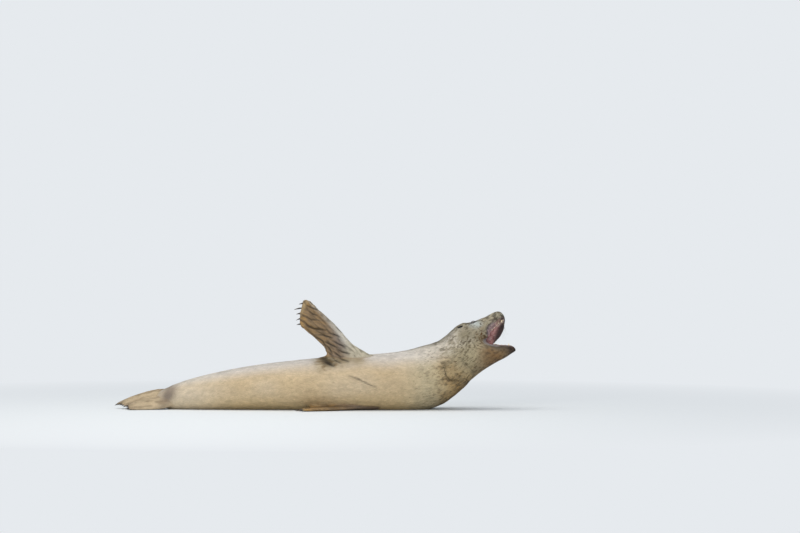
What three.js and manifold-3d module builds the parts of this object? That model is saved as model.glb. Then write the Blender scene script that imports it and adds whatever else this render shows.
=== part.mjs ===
// A life-size grey seal, lying on its left side with the right fore flipper raised and the mouth wide open.
// Millimetres, +Z up. The head points along +X, the back faces +Y and the floor is the plane z = 0.
import * as THREE from 'three';
import { LoftGeometry } from 'three/addons/geometries/LoftGeometry.js';
import { mergeVertices } from 'three/addons/utils/BufferGeometryUtils.js';
import Module from 'manifold-3d';

const wasm = await Module();
wasm.setup();

// ---- Driving dimensions ----

const GAP = 0.4; // parting gap between neighbouring pieces
const REACH = 1500; // half size of the blocks that part the body

// The head's pose: yaw towards the back, pitch up, lean over to the animal's left; and the open jaw's angle.
const HEAD = { at: [690, 52, 329], yaw: 15, pitch: 34, lean: 46 };
const GAPE = 46;

// Where the trunk is parted, along X, and where the neck ends, behind the ears.
const CUTS = { hips: -430, belly: -20, chest: 425, neck: -42, throat: 72 };

const EYE = { forward: 72, side: 36, rise: -4, radius: 17 };
const EAR = { forward: 7, side: 60, rise: 14, size: [9, 8, 5] };
const NOSTRIL = { forward: 214, side: 11, rise: -17, size: [9, 3.5, 7] };

const TEETH = {
  incisor: { radius: 3, height: 8 },
  canine: { radius: 6, height: 19 },
  cheek: { radius: 4.5, height: 10 },
};

const COLOURS = {
  back: 0xbdb09c,
  flank: 0xb9a688,
  neck: 0xaca188,
  head: 0x8f8771,
  jaw: 0x604c36,
  flipper: 0x796753,
  claw: 0x2a2522,
  eye: 0x23201f,
  mouth: 0x9a6262,
  tongue: 0xa8706c,
};

// ---- Frames ----

const degrees = THREE.MathUtils.degToRad;
const point = (x, y, z) => new THREE.Vector3(x, y, z);

// Forward, left and back (dorsal) directions of a part that is turned by yaw, raised by pitch
// and rolled over towards the animal's left by lean.
function frameOf({ yaw = 0, pitch = 0, lean = 0 }) {
  const [y, p, r] = [degrees(yaw), degrees(pitch), degrees(lean)];
  const forward = point(Math.cos(p) * Math.cos(y), Math.cos(p) * Math.sin(y), Math.sin(p));
  const level = point(-Math.sin(y), Math.cos(y), 0);
  const upright = new THREE.Vector3().crossVectors(forward, level);
  const back = upright.multiplyScalar(Math.cos(r)).addScaledVector(level, Math.sin(r));
  return { forward, left: new THREE.Vector3().crossVectors(back, forward), back };
}

function place(origin, { forward, left, back }, offsets) {
  const at = point(...origin);
  [forward, left, back].forEach((direction, i) => at.addScaledVector(direction, offsets[i]));
  return at;
}

const headFrame = frameOf(HEAD);
const inHead = (...offsets) => place(HEAD.at, headFrame, offsets);

// The jaw swings down by GAPE about a hinge under the ears.
const HINGE = inHead(6, 0, -28).toArray();
const jawFrame = {
  forward: headFrame.forward
    .clone()
    .multiplyScalar(Math.cos(degrees(GAPE)))
    .addScaledVector(headFrame.back, -Math.sin(degrees(GAPE))),
  left: headFrame.left,
};
jawFrame.back = new THREE.Vector3().crossVectors(jawFrame.forward, jawFrame.left);
const inJaw = (...offsets) => place(HINGE, jawFrame, offsets);

// ---- Solids ----

function solidOf(geometry) {
  const bare = new THREE.BufferGeometry().setAttribute('position', geometry.getAttribute('position'));
  bare.setIndex(geometry.index);
  const merged = mergeVertices(bare, 1e-3);
  const corners = merged.index.array;
  const faces = [];
  for (let i = 0; i < corners.length; i += 3) {
    const [a, b, c] = corners.slice(i, i + 3);
    if (a !== b && b !== c && c !== a) faces.push(a, b, c);
  }
  return new wasm.Manifold(
    new wasm.Mesh({
      numProp: 3,
      vertProperties: merged.attributes.position.array,
      triVerts: new Uint32Array(faces),
    }),
  );
}

const skinned = (rings) => solidOf(new LoftGeometry(rings, { capStart: true, capEnd: true }));

// Rows of numbers joined by smooth curves. along says how far on each row lies, and pace how far a step goes.
function curved(rows, pace, along = rows.map((row) => row[0])) {
  const curve = new THREE.CubicInterpolant(along, rows.flat(), rows[0].length);
  const out = [];
  for (let i = 0; i < rows.length - 1; i++) {
    const span = along[i + 1] - along[i];
    const steps = Math.ceil(span / pace);
    for (let k = 0; k < steps; k++) out.push([...curve.evaluate(along[i] + (span * k) / steps)]);
  }
  return [...out, rows.at(-1)];
}

// An oval ring; square above 2 makes its lower half boxier.
function oval(around, side, back, belly, square, put) {
  const points = [];
  for (let i = 0; i < around; i++) {
    const angle = (2 * Math.PI * i) / around;
    const exponent = Math.sin(angle) < 0 ? 2 / square : 1;
    const [c, s] = [Math.cos(angle), Math.sin(angle)];
    const across = side * Math.sign(c) * Math.abs(c) ** exponent;
    const up = (s < 0 ? belly : back) * Math.sign(s) * Math.abs(s) ** exponent;
    points.push(put(across, up));
  }
  return points;
}

// A ball or egg with its long axis along the frame's forward direction.
function egg(centre, frame, [long, wide, tall], detail = 10) {
  const rotation = new THREE.Matrix4().makeBasis(frame.forward, frame.left, frame.back);
  const geometry = new THREE.SphereGeometry(1, detail, Math.round(detail * 0.7));
  geometry.scale(long, wide, tall).applyMatrix4(rotation).translate(...centre.toArray());
  return solidOf(geometry);
}

// The block on the far side of a plane through a point, in the direction of its normal.
function beyond(at, normal) {
  const geometry = new THREE.BoxGeometry(2 * REACH, 2 * REACH, 2 * REACH).translate(0, 0, REACH);
  const turn = new THREE.Quaternion().setFromUnitVectors(point(0, 0, 1), normal);
  return solidOf(geometry.applyQuaternion(turn).translate(...at.toArray()));
}

// What lies between two parallel planes, less half the parting gap at each.
function slice(solid, normal, from, to) {
  const [start, end] = [from, to].map((at) => at?.clone());
  let out = solid;
  if (start) out = out.intersect(beyond(start.addScaledVector(normal, GAP / 2), normal));
  if (end) out = out.subtract(beyond(end.addScaledVector(normal, -GAP / 2), normal));
  return out;
}

const belowFloor = beyond(point(0, 0, 0), point(0, 0, -1));

// ---- Trunk, neck and skull: one smooth body ----

const BODY_RING = 26;
const BODY_PACE = 70;

// Each station: its centre, its turn, and half sizes to the side, the back and the belly.
const TRUNK = [
  { at: [-712, 2, 46], side: 22, back: 24, belly: 24 },
  { at: [-696, 2, 46], side: 40, back: 40, belly: 40 },
  { at: [-640, 2, 55], side: 58, back: 64, belly: 62 },
  { at: [-531, 0, 70], side: 78, back: 92, belly: 88 },
  { at: [-315, 0, 93], side: 102, back: 132, belly: 130 },
  { at: [-57, 0, 108], side: 120, back: 158, belly: 164 },
  { at: [150, 0, 117], side: 129, back: 168, belly: 178 },
  { at: [333, 0, 123], side: 135, back: 168, belly: 174 },
  { at: [465, 4, 132], yaw: 3, pitch: 8, lean: 84, side: 143, back: 156, belly: 160 },
  { at: [560, 16, 160], yaw: 8, pitch: 20, lean: 76, side: 142, back: 134, belly: 154 },
  { at: [635, 34, 220], yaw: 13, pitch: 30, lean: 64, side: 112, back: 100, belly: 172 },
];

// Skull stations: distance forward of the ears, then height over its axis, half width and depth under it.
const SKULL_AXIS = -30;
const SKULL = [
  [0, 76, 82, 122, 2],
  [40, 69, 73, 112, 2.2],
  [76, 56, 62, 88, 2.6],
  [104, 46, 55, 76, 3.2],
  [140, 34, 50, 66, 4],
  [174, 29, 46, 48, 4],
  [196, 26, 39, 31, 3.6],
  [208, 19, 29, 24, 3],
  [214, 10, 14, 12, 2.4],
];

const trunkRows = TRUNK.map(({ at, yaw = 0, pitch = 0, lean = 90, side, back, belly }) => {
  return [...at, yaw, pitch, lean, side, back, belly, 2];
});
const skullRows = SKULL.map(([forward, back, side, belly, square]) => {
  const centre = inHead(forward, 0, SKULL_AXIS).toArray();
  return [...centre, HEAD.yaw, HEAD.pitch, HEAD.lean, side, back, belly, square];
});

function bodyWith(grow) {
  const lengths = (rows) => {
    const steps = rows.map((row, i) => (i ? point(...row).distanceTo(point(...rows[i - 1])) : 0));
    return steps.map((_, i) => steps.slice(0, i + 1).reduce((sum, step) => sum + step, 0));
  };
  const all = [...trunkRows, ...skullRows];
  const along = lengths(all);
  const rings = curved(all, BODY_PACE, along).map((row) => {
    const [x, y, z, yaw, pitch, lean, side, back, belly, square] = row;
    const frame = frameOf({ yaw, pitch, lean });
    const put = (across, up) => place([x, y, z], frame, [0, across, up]);
    return oval(BODY_RING, side + grow, back + grow, belly + grow, square, put);
  });
  return skinned(rings);
}

const body = bodyWith(0);
const bodyGrown = bodyWith(GAP);

// ---- Lower jaw and throat ----

// Distance forward of the hinge, top, bottom and half width.
const JAW = [
  [-56, -60, -140, 24],
  [-34, -52, -184, 42],
  [-8, -40, -212, 55],
  [26, -20, -228, 63],
  [60, -4, -206, 62],
  [95, -10, -162, 56],
  [130, -22, -130, 47],
  [165, -26, -104, 38],
  [200, -25, -80, 29],
  [224, -28, -58, 21],
  [237, -34, -52, 12],
  [242, -40, -47, 5],
];

function troughOf(rows, pace, around, square, put, grow = 0) {
  const rings = curved(rows, pace).map(([forward, top, bottom, side]) => {
    const [rise, tall] = [(top + bottom) / 2, (top - bottom) / 2 + grow];
    return oval(around, side + grow, tall, tall, square, (across, up) => put(forward, across, rise + up));
  });
  return skinned(rings);
}

const jaw = troughOf(JAW, 28, 20, 2, inJaw);

// ---- Mouth: the hollow under the palate joined to the hollow over the tongue ----

const PALATE = [
  [62, -86, -112, 18],
  [88, -74, -150, 34],
  [120, -64, -160, 41],
  [150, -55, -160, 39],
  [178, -47, -150, 34],
  [194, -46, -130, 28],
  [202, -52, -120, 22],
];
const FLOOR = [
  [70, 4, -34, 16],
  [100, 14, -54, 34],
  [130, 30, -60, 35],
  [165, 30, -58, 28],
  [200, 20, -50, 21],
  [222, 4, -44, 14],
  [229, -10, -38, 9],
];
const palateWith = (grow) => troughOf(PALATE, 60, 12, 2.4, inHead, grow);
const floorWith = (grow) => troughOf(FLOOR, 60, 12, 3, inJaw, grow);
const mouth = palateWith(0).add(floorWith(0));

// ---- Flippers and claws ----

const DIGITS = [0.1, 0.3, 0.5, 0.7, 0.9]; // where the five digits lie between the two edges
const FLIPPER_RING = 24;

const edgeOf = (rows) => new THREE.SplineCurve(rows.map(([a, b]) => new THREE.Vector2(a, b)));

// A point at a height off the surface that lay describes.
function raised(lay, a, b, height) {
  const at = lay(a, b);
  const along = lay(a + 1, b).sub(at);
  const across = lay(a, b + 1).sub(at);
  return at.addScaledVector(new THREE.Vector3().crossVectors(along, across).normalize(), height);
}

// The way out of a flipper's tip, square to the line between its two edges.
const outward = (p, q) => new THREE.Vector2(q.y - p.y, p.x - q.x).normalize();

// A flipper between a rear and a front edge, which run from root to tip in its own plane. lay(a, b)
// puts a point of that plane in place, and thick lists half thicknesses from root to tip.
function flipper({ rear, front, thick, lay, rows, round, scallop }, grow = 0) {
  const [rearEdge, frontEdge, depth] = [rear, front, thick.map((t, i) => [i, t])].map(edgeOf);
  const rings = [];
  for (let i = 0; i <= rows; i++) {
    const t = i / rows;
    const [p, q] = [rearEdge.getPoint(t), frontEdge.getPoint(t)];
    const out = outward(p, q);
    const half = depth.getPoint(t).y;
    const ring = [];
    for (let k = 0; k < FLIPPER_RING; k++) {
      const angle = (2 * Math.PI * k) / FLIPPER_RING;
      const u = 0.5 + 0.5 * Math.cos(angle);
      const digit = 0.5 - 0.5 * Math.cos(2 * Math.PI * DIGITS.length * u);
      const reach = round * (4 * u * (1 - u)) * t ** 3 + scallop * digit * t ** 8;
      const wide = u + (grow * Math.cos(angle)) / p.distanceTo(q);
      const flat = new THREE.Vector2().lerpVectors(p, q, wide).addScaledVector(out, reach + grow * t);
      const relief = (0.84 + 0.3 * digit * t) * (0.8 + 0.35 * u);
      ring.push(raised(lay, flat.x, flat.y, (half * relief + grow) * Math.sin(angle)));
    }
    rings.push(ring);
  }
  return skinned(rings);
}

// A curved claw at each digit's tip: sweep bends it towards the rear edge, and hook off the flipper's plane.
const CLAW_ROOT = 6; // how far back it starts inside the tip
function clawsOf({ rear, front, lay, round, scallop, claws }) {
  const [p, q] = [rear, front].map((edge) => new THREE.Vector2(...edge.at(-1)));
  const out = outward(p, q);
  return DIGITS.map((u, digit) => {
    const long = claws.lengths[digit];
    const root = new THREE.Vector2().lerpVectors(p, q, u);
    root.addScaledVector(out, round * 4 * u * (1 - u) + scallop - CLAW_ROOT);
    const centreAt = (t) => {
      const flat = root.clone().addScaledVector(out, (long + CLAW_ROOT) * t);
      return raised(lay, flat.x, flat.y - claws.sweep * long * t * t, claws.hook * long * t * t);
    };
    const rings = [0, 0.4, 0.75, 1].map((t, i) => {
      const ahead = centreAt(t + 0.05).sub(centreAt(t - 0.05)).normalize();
      const side = new THREE.Vector3().crossVectors(ahead, point(0, 0.3, 1)).normalize();
      const up = new THREE.Vector3().crossVectors(side, ahead);
      const size = claws.radius * [0.45, 1, 0.68, 0.12][i] + 0.1;
      const put = (x, y) => centreAt(t).addScaledVector(side, 0.8 * x).addScaledVector(up, y);
      return oval(5, size, size, size, 2, put).reverse();
    });
    return skinned(rings);
  });
}

// ---- The four flippers' own shapes ----

// Edges run from root to tip; distances are along the flipper, then towards its front edge.
const FORE = {
  rear: [[-40, -78], [60, -70], [86, -60], [112, -51], [160, -49], [205, -50], [242, -48]],
  front: [[-90, 60], [-50, 55], [4, 43], [60, 51], [120, 62], [200, 66], [262, 66], [303, 56]],
  thick: [30, 26, 20, 15, 12, 10, 7],
  rows: 10,
  round: 11,
  scallop: 5,
  claws: { lengths: [10, 11, 12, 24, 14], radius: 4, hook: -0.2, sweep: 0.45 },
};

const HIND = {
  rear: [[-45, -8], [10, -32], [60, -42], [115, -45], [170, -47], [205, -46]],
  front: [[-45, 8], [10, 26], [70, 38], [140, 43], [205, 46], [258, 42]],
  thick: [8, 21, 18, 13, 10, 7],
  rows: 8,
  round: -8,
  scallop: 8,
  claws: { lengths: [8, 9, 9, 9, 8], radius: 2.5, hook: 0.1, sweep: 0.1 },
};

// A plane through root, spanned by along and across; bow bends it off that plane towards the tip.
function sheet(root, along, across, bow = 0) {
  const [u, v] = [point(...along).normalize(), point(...across).normalize()];
  const off = new THREE.Vector3().crossVectors(u, v);
  return (a, b) =>
    point(...root)
      .addScaledVector(u, a)
      .addScaledVector(v, b)
      .addScaledVector(off, bow * Math.max(0, a / 300) ** 2);
}

// Raised right fore flipper, its palm to the belly side.
const rightFore = {
  ...FORE,
  lay: sheet([163, -34, 262], [-0.767, 0.08, 0.641], [0.641, 0, 0.767], -24),
};

// Left fore flipper, folded back flat on the floor under the chest's overhang.
const leftFore = {
  ...FORE,
  thick: [14, 13, 12, 11, 10, 8, 6],
  lay: sheet([218, -72, 12.5], [-0.92, -0.39, -0.02], [0.39, -0.92, 0]),
};

// A hind flipper that droops from the ankle to the floor, its front edge the higher.
function drooping({ root, heading, height, tilt, reach }) {
  return (a, b) => {
    const t = Math.min(1.05, Math.max(0, a / reach));
    const lean = degrees(tilt) * (1 - 0.9 * t ** 1.5);
    const rise = height * (1 - t ** 1.4) + b * Math.sin(lean);
    const [x, y, z] = root;
    return point(x - a * Math.cos(heading), y + a * Math.sin(heading) + b * Math.cos(lean), z + rise);
  };
}

const rightHind = {
  ...HIND,
  lay: drooping({ root: [-652, 10, 7], heading: degrees(4), height: 63, tilt: 48, reach: 275 }),
};
const leftHind = {
  ...HIND,
  rear: HIND.rear.map(([a, b]) => [a * 0.93, b]),
  front: HIND.front.map(([a, b]) => [a * 0.78, b]),
  lay: drooping({ root: [-652, -30, 9], heading: degrees(-11), height: 24, tilt: 42, reach: 230 }),
};

// ---- Assembly ----

const seal = new THREE.Group();
seal.name = 'grey_seal';

function add(name, solid, color, roughness = 0.8) {
  const { vertProperties, triVerts } = solid.getMesh();
  const geometry = new THREE.BufferGeometry();
  geometry.setAttribute('position', new THREE.BufferAttribute(new Float32Array(vertProperties), 3));
  geometry.setIndex(new THREE.BufferAttribute(new Uint32Array(triVerts), 1));
  geometry.computeVertexNormals();
  const mesh = new THREE.Mesh(geometry, new THREE.MeshStandardMaterial({ color, roughness }));
  mesh.name = name;
  seal.add(mesh);
}

// Eyes, set into sockets.
const eyes = { right: -1, left: 1 };
const eyeBall = (side, grow) => {
  const radius = EYE.radius + grow;
  return egg(inHead(EYE.forward, side * EYE.side, EYE.rise), headFrame, [radius, radius, radius], 10);
};
const holes = Object.values(eyes).flatMap((side) => [
  eyeBall(side, GAP),
  egg(inHead(EAR.forward, side * EAR.side, EAR.rise), headFrame, EAR.size, 7),
  egg(inHead(NOSTRIL.forward, side * NOSTRIL.side, NOSTRIL.rise), headFrame, NOSTRIL.size, 7),
]);

const flesh = holes.reduce((solid, hole) => solid.subtract(hole), body.subtract(mouth)).subtract(belowFloor);
const east = point(1, 0, 0);
const [hips, belly, chest] = [CUTS.hips, CUTS.belly, CUTS.chest].map((x) => point(x, 0, 0));
const nape = inHead(CUTS.neck, 0, 0);

// The tail lies between the hind flippers, on the back's side.
const TAIL = [
  [0, 14, -14, 20],
  [40, 11, -11, 19],
  [75, 7, -7, 15],
  [92, 3, -3, 8],
];
const tailFrame = frameOf({ yaw: 174, pitch: -14, lean: 90 });
const tailWith = (grow) => troughOf(TAIL, 60, 8, 2, (...at) => place([-670, 28, 66], tailFrame, at), grow);

add('hips', slice(flesh, east, null, hips), COLOURS.back);
add('belly', slice(flesh, east, hips, belly), COLOURS.flank);
add('chest', slice(flesh, east, belly, chest), COLOURS.flank);
add('neck', slice(slice(flesh, east, chest, null), headFrame.forward, null, nape), COLOURS.neck);
add('head', slice(flesh, headFrame.forward, nape, null), COLOURS.head);
for (const [name, side] of Object.entries(eyes)) add(`eye_${name}`, eyeBall(side, 0), COLOURS.eye, 0.1);

// The jaw's flesh outside the skull and neck: the throat behind, and the lower jaw in front.
const jawFlesh = jaw.subtract(bodyGrown).subtract(mouth);
const throatEnd = inJaw(CUTS.throat, 0, 0);
add('throat', slice(jawFlesh, jawFrame.forward, null, throatEnd), COLOURS.neck);
add('lower_jaw', slice(jawFlesh, jawFrame.forward, throatEnd, null), COLOURS.jaw);

// The lining of the mouth: palate and mouth floor, each with its gums and teeth, and the tongue.
const LINING = 7;

const TOOTH_ROOT = 6; // how deep a tooth sits in its gum
function tooth({ radius, height }, at, frame, lean) {
  const geometry = new THREE.ConeGeometry(radius, height + TOOTH_ROOT, 4);
  geometry.translate(0, (height - TOOTH_ROOT) / 2, 0);
  const up = frame.back.clone().multiplyScalar(lean).addScaledVector(frame.forward, 0.12).normalize();
  geometry.applyQuaternion(new THREE.Quaternion().setFromUnitVectors(point(0, 1, 0), up));
  return solidOf(geometry.translate(...at.toArray()));
}

// Teeth stand along both sides of an arch: rows hold kind, distance forward, half width and height.
// Those of the palate point down, with a lean of -1, and those of the jaw up, with 1.
function arch(gum, rows, put, frame, lean) {
  let solid = gum;
  for (const [kind, forward, side, rise] of rows) {
    for (const sign of [-1, 1]) {
      solid = solid.add(tooth(TEETH[kind], put(forward, sign * side, rise), frame, lean));
    }
  }
  return solid;
}

const UPPER_TEETH = [
  ['incisor', 194, 5, -55],
  ['incisor', 191, 13, -55],
  ['canine', 181, 25, -57],
  ['cheek', 164, 31, -62],
  ['cheek', 148, 33, -66],
  ['cheek', 133, 35, -70],
  ['cheek', 118, 35, -75],
];
const LOWER_TEETH = [
  ['incisor', 224, 5, -40],
  ['canine', 213, 13, -41],
  ['cheek', 195, 18, -41],
  ['cheek', 180, 21, -41],
  ['cheek', 165, 24, -41],
  ['cheek', 150, 27, -41],
];

const TONGUE = [
  [88, -28, -60, 11],
  [112, -24, -64, 15],
  [150, -30, -64, 15],
  [185, -35, -60, 12],
  [204, -38, -52, 5],
];

// A hollow's lining follows its wall and is open to the gape and to the rear.
const drawnBack = (solid, frame) => solid.translate(...place([0, 0, 0], frame, [-LINING, 0, 0]));
const palate = palateWith(-GAP).intersect(body).subtract(drawnBack(palateWith(-LINING), headFrame));
const floorLining = floorWith(-GAP).intersect(jaw).subtract(drawnBack(floorWith(-LINING), jawFrame));
const mouthFloor = floorLining.subtract(bodyGrown);
const roomForTongue = drawnBack(floorWith(-LINING - GAP), jawFrame).subtract(bodyGrown);
const tongue = troughOf(TONGUE, 60, 10, 2, inJaw).intersect(roomForTongue);
const upperArch = arch(palate, UPPER_TEETH, inHead, headFrame, -1).intersect(palateWith(-GAP));
const lowerArch = arch(mouthFloor, LOWER_TEETH, inJaw, jawFrame, 1).intersect(floorWith(-GAP));
add('palate', upperArch, COLOURS.mouth);
add('mouth_floor', lowerArch, COLOURS.mouth);
add('tongue', tongue, COLOURS.tongue);

const tail = tailWith(0).subtract(bodyGrown);
const flippers = { fore_right: rightFore, fore_left: leftFore, hind_left: leftHind, hind_right: rightHind };
let nearby = bodyGrown.add(belowFloor);
for (const [name, shape] of Object.entries(flippers)) {
  const solid = flipper(shape);
  const grown = solid.add(flipper(shape, 2 * GAP));
  add(name.replace('_', '_flipper_'), solid.subtract(nearby), COLOURS.flipper);
  nearby = nearby.add(grown);
  clawsOf(shape).forEach((claw, i) => {
    add(`claw_${name}_${i + 1}`, claw.subtract(grown).subtract(belowFloor), COLOURS.claw, 0.4);
  });
}
add('tail', tail.subtract(nearby), COLOURS.back);

const bounds = new THREE.Box3().setFromObject(seal);
const middle = bounds.getCenter(point(0, 0, 0));
seal.position.set(-middle.x, -middle.y, -bounds.min.z);
seal.updateMatrixWorld(true);

export default seal;
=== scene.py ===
"""A grey seal, life size, on its left side with one fore flipper raised and its mouth wide open."""
import math

import bmesh
import bpy
import numpy as np
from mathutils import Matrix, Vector
from mathutils.bvhtree import BVHTree


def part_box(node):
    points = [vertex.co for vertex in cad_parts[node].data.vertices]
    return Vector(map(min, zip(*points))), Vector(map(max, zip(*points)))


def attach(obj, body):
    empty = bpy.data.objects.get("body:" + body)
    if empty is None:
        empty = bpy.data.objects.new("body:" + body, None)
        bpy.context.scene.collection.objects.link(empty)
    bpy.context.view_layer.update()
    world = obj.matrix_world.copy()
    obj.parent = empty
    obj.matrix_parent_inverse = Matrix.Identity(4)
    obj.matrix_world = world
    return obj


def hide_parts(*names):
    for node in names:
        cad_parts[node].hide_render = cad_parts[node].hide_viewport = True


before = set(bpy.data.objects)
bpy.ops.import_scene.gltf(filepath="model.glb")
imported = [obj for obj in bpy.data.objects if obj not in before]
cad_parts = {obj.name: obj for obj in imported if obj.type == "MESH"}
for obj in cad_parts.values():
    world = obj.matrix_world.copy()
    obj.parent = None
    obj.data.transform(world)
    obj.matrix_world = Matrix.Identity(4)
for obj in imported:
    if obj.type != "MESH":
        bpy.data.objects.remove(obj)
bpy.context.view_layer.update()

# ---- Camera ----
# A long lens about a metre over the beach, 20 metres from the seal and tipped down by about a
# degree. It looks straight at the seal's belly side.
EYE_LEVEL = 1.054
DISTANCE = 20.403
AIM_X = 0.392
TIP_DOWN = math.radians(1.115)
LENS, SENSOR_WIDTH = 200, 36  # millimetres
SIGHT_LIMIT = 200

bpy.ops.object.camera_add(
    location=(AIM_X, -DISTANCE, EYE_LEVEL), rotation=(math.pi / 2 - TIP_DOWN, 0, 0)
)
camera = bpy.context.object
camera.data.lens = LENS
camera.data.sensor_width = SENSOR_WIDTH
camera.data.clip_end = SIGHT_LIMIT
bpy.context.scene.camera = camera


# ---- Studio ----
# A plain pale floor that fades into a plain pale backdrop, under one broad soft lamp overhead,
# one at the front and the light of the room.
def linear(code):
    """Turns an sRGB hex colour to the linear colour that shaders use."""
    values = [int(code[i : i + 2], 16) / 255 for i in (1, 3, 5)]
    return [v / 12.92 if v <= 0.04045 else ((v + 0.055) / 1.055) ** 2.4 for v in values] + [1]


def feed(tree, made, inputs):
    """Sets a node's sockets, each to a number, a colour or another node's output."""
    for name, value in inputs.items():
        if isinstance(value, bpy.types.NodeSocket):
            tree.links.new(value, made.inputs[name])
        else:
            made.inputs[name].default_value = value


def node(tree, kind, inputs=None, stops=(), **settings):
    """Adds a shader node. A colour ramp has its stops as places and colours."""
    made = tree.nodes.new("ShaderNode" + kind)
    for name, value in settings.items():
        setattr(made, name, value)
    feed(tree, made, inputs or {})
    if stops:
        elements = made.color_ramp.elements
        while len(elements) < len(stops):
            elements.new(0.5)
        for element, (place, code) in zip(elements, stops):
            element.position = place
            element.color = linear(code)
    return made


def material(name):
    """Starts a material and returns it with its node tree and its Principled node."""
    made = bpy.data.materials.new(name)
    made.use_nodes = True
    tree = made.node_tree
    return made, tree, tree.nodes["Principled BSDF"]


BACKDROP = "#e6eaee"
FLOOR_RADIUS = 60
FADE_FROM, FADE_TO = 0.9, 3.2  # where the floor's paint goes over into the backdrop's

bpy.ops.object.select_all(action="DESELECT")
bpy.ops.mesh.primitive_circle_add(
    vertices=96, radius=FLOOR_RADIUS, fill_type="NGON", location=(0, 0, 0)
)
floor = bpy.context.object
floor.name = "floor"
floor_paint, tree, shader = material("pale_floor_paint")
feed(tree, shader, {"Base Color": linear("#d6dadd"), "Roughness": 0.9})
place = node(tree, "TexCoord").outputs["Object"]
far = node(tree, "VectorMath", {0: place}, operation="LENGTH").outputs["Value"]
far = node(tree, "MapRange", {"Value": far, "From Min": FADE_FROM, "From Max": FADE_TO}).outputs[0]
seen = node(tree, "LightPath").outputs["Is Camera Ray"]
seen = node(tree, "Math", {0: far, 1: seen}, operation="MULTIPLY").outputs[0]
glow = node(tree, "Emission", {"Color": linear(BACKDROP), "Strength": 1})
blend = node(tree, "MixShader", {0: seen, 1: shader.outputs[0], 2: glow.outputs[0]})
tree.links.new(blend.outputs[0], tree.nodes["Material Output"].inputs["Surface"])
floor.data.materials.append(floor_paint)

scene = bpy.context.scene
scene.view_settings.view_transform = "Standard"
scene.world = bpy.data.worlds.new("room")
scene.world.use_nodes = True
tree = scene.world.node_tree
ray = node(tree, "LightPath").outputs
plain = {0: ray["Is Camera Ray"], 1: ray["Is Transmission Ray"]}
plain = node(tree, "Math", plain, operation="MAXIMUM").outputs[0]
ambient = node(tree, "Background", {"Color": linear("#dfe6ee"), "Strength": 0.70})
backdrop = node(tree, "Background", {"Color": linear(BACKDROP), "Strength": 1})
both = node(tree, "MixShader", {0: plain, 1: ambient.outputs[0], 2: backdrop.outputs[0]})
tree.links.new(both.outputs[0], tree.nodes["World Output"].inputs["Surface"])


def softbox(name, at, aim, size, power, colour="#fffaf2"):
    """Adds a broad square lamp turned towards a point."""
    bpy.ops.object.light_add(type="AREA", location=at)
    lamp = bpy.context.object
    lamp.name = name
    lamp.data.size = size
    lamp.data.energy = power
    lamp.data.color = linear(colour)[:3]
    lamp.rotation_euler = (Vector(aim) - Vector(at)).to_track_quat("-Z", "Y").to_euler()


softbox("lamp_overhead", (-0.4, -0.2, 4.0), (0, 0, 0.2), 4.0, 120)
softbox("lamp_front", (-1.2, -5.0, 1.7), (0, 0, 0.2), 2.5, 125)

# ---- Skin ----
# The seal's hide over its blubber: one skin from the nose to the ends of the flippers, modelled
# from the frame's flesh, smoothed, and drawn in under the coat that grows from it.
FLESH = ["hips", "belly", "chest", "neck", "head", "throat", "lower_jaw", "tail"]
LIMBS = ["fore_flipper_right", "fore_flipper_left", "hind_flipper_right", "hind_flipper_left"]
LINING = ["palate", "mouth_floor"]
EYES = ["eye_right", "eye_left"]
JOIN = 0.0006  # closes the thin parting gaps of the frame
VOXEL = 0.006
COAT_DEPTH = 0.002
SKIN_REST = 0.0008  # the hide's height over the floor that it rests on


def copy_of(*names):
    """One welded copy of some of the frame's nodes."""
    bpy.ops.object.select_all(action="DESELECT")
    for name in names:
        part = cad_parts[name]
        copy = part.copy()
        copy.data = part.data.copy()
        copy.parent = None
        copy.matrix_world = part.matrix_world
        bpy.context.collection.objects.link(copy)
        copy.select_set(True)
        bpy.context.view_layer.objects.active = copy
    bpy.ops.object.join()
    made = bpy.context.object
    made.data.materials.clear()
    bpy.ops.object.transform_apply(location=True, rotation=True, scale=True)
    bpy.ops.object.mode_set(mode="EDIT")
    bpy.ops.mesh.select_all(action="SELECT")
    bpy.ops.mesh.remove_doubles(threshold=0.00001)
    bpy.ops.object.mode_set(mode="OBJECT")
    return made


def apply_modifier(piece, kind, **settings):
    """Adds a modifier to a piece and applies it."""
    modifier = piece.modifiers.new(kind.lower(), kind)
    for name, value in settings.items():
        setattr(modifier, name, value)
    bpy.ops.object.select_all(action="DESELECT")
    bpy.context.view_layer.objects.active = piece
    piece.select_set(True)
    bpy.ops.object.modifier_apply(modifier=modifier.name)


def places(mesh):
    """The places of a mesh's vertices, one row each."""
    flat = np.empty(len(mesh.vertices) * 3, dtype=np.float32)
    mesh.vertices.foreach_get("co", flat)
    return flat.reshape(-1, 3).astype(float)


def normals(mesh):
    """The vertex normals of a mesh, one row each."""
    flat = np.empty(len(mesh.vertices) * 3, dtype=np.float32)
    mesh.vertex_normals.foreach_get("vector", flat)
    return flat.reshape(-1, 3).astype(float)


def put(mesh, points):
    """Moves a mesh's vertices."""
    mesh.vertices.foreach_set("co", points.astype(np.float32).ravel())
    mesh.update()


def smooth_step(value, low, high):
    """Rises smoothly from 0 at low to 1 at high."""
    t = np.clip((value - low) / (high - low), 0, 1)
    return t * t * (3 - 2 * t)


def between(value, low, high, soft):
    """1 between low and high, and 0 further than soft outside them."""
    return smooth_step(value, low - soft, low) * (1 - smooth_step(value, high, high + soft))


def near(points, centre, radius):
    """1 at a centre, falling smoothly to 0 at the radius."""
    return 1 - smooth_step(np.linalg.norm(points - centre, axis=1), 0, radius)


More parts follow.
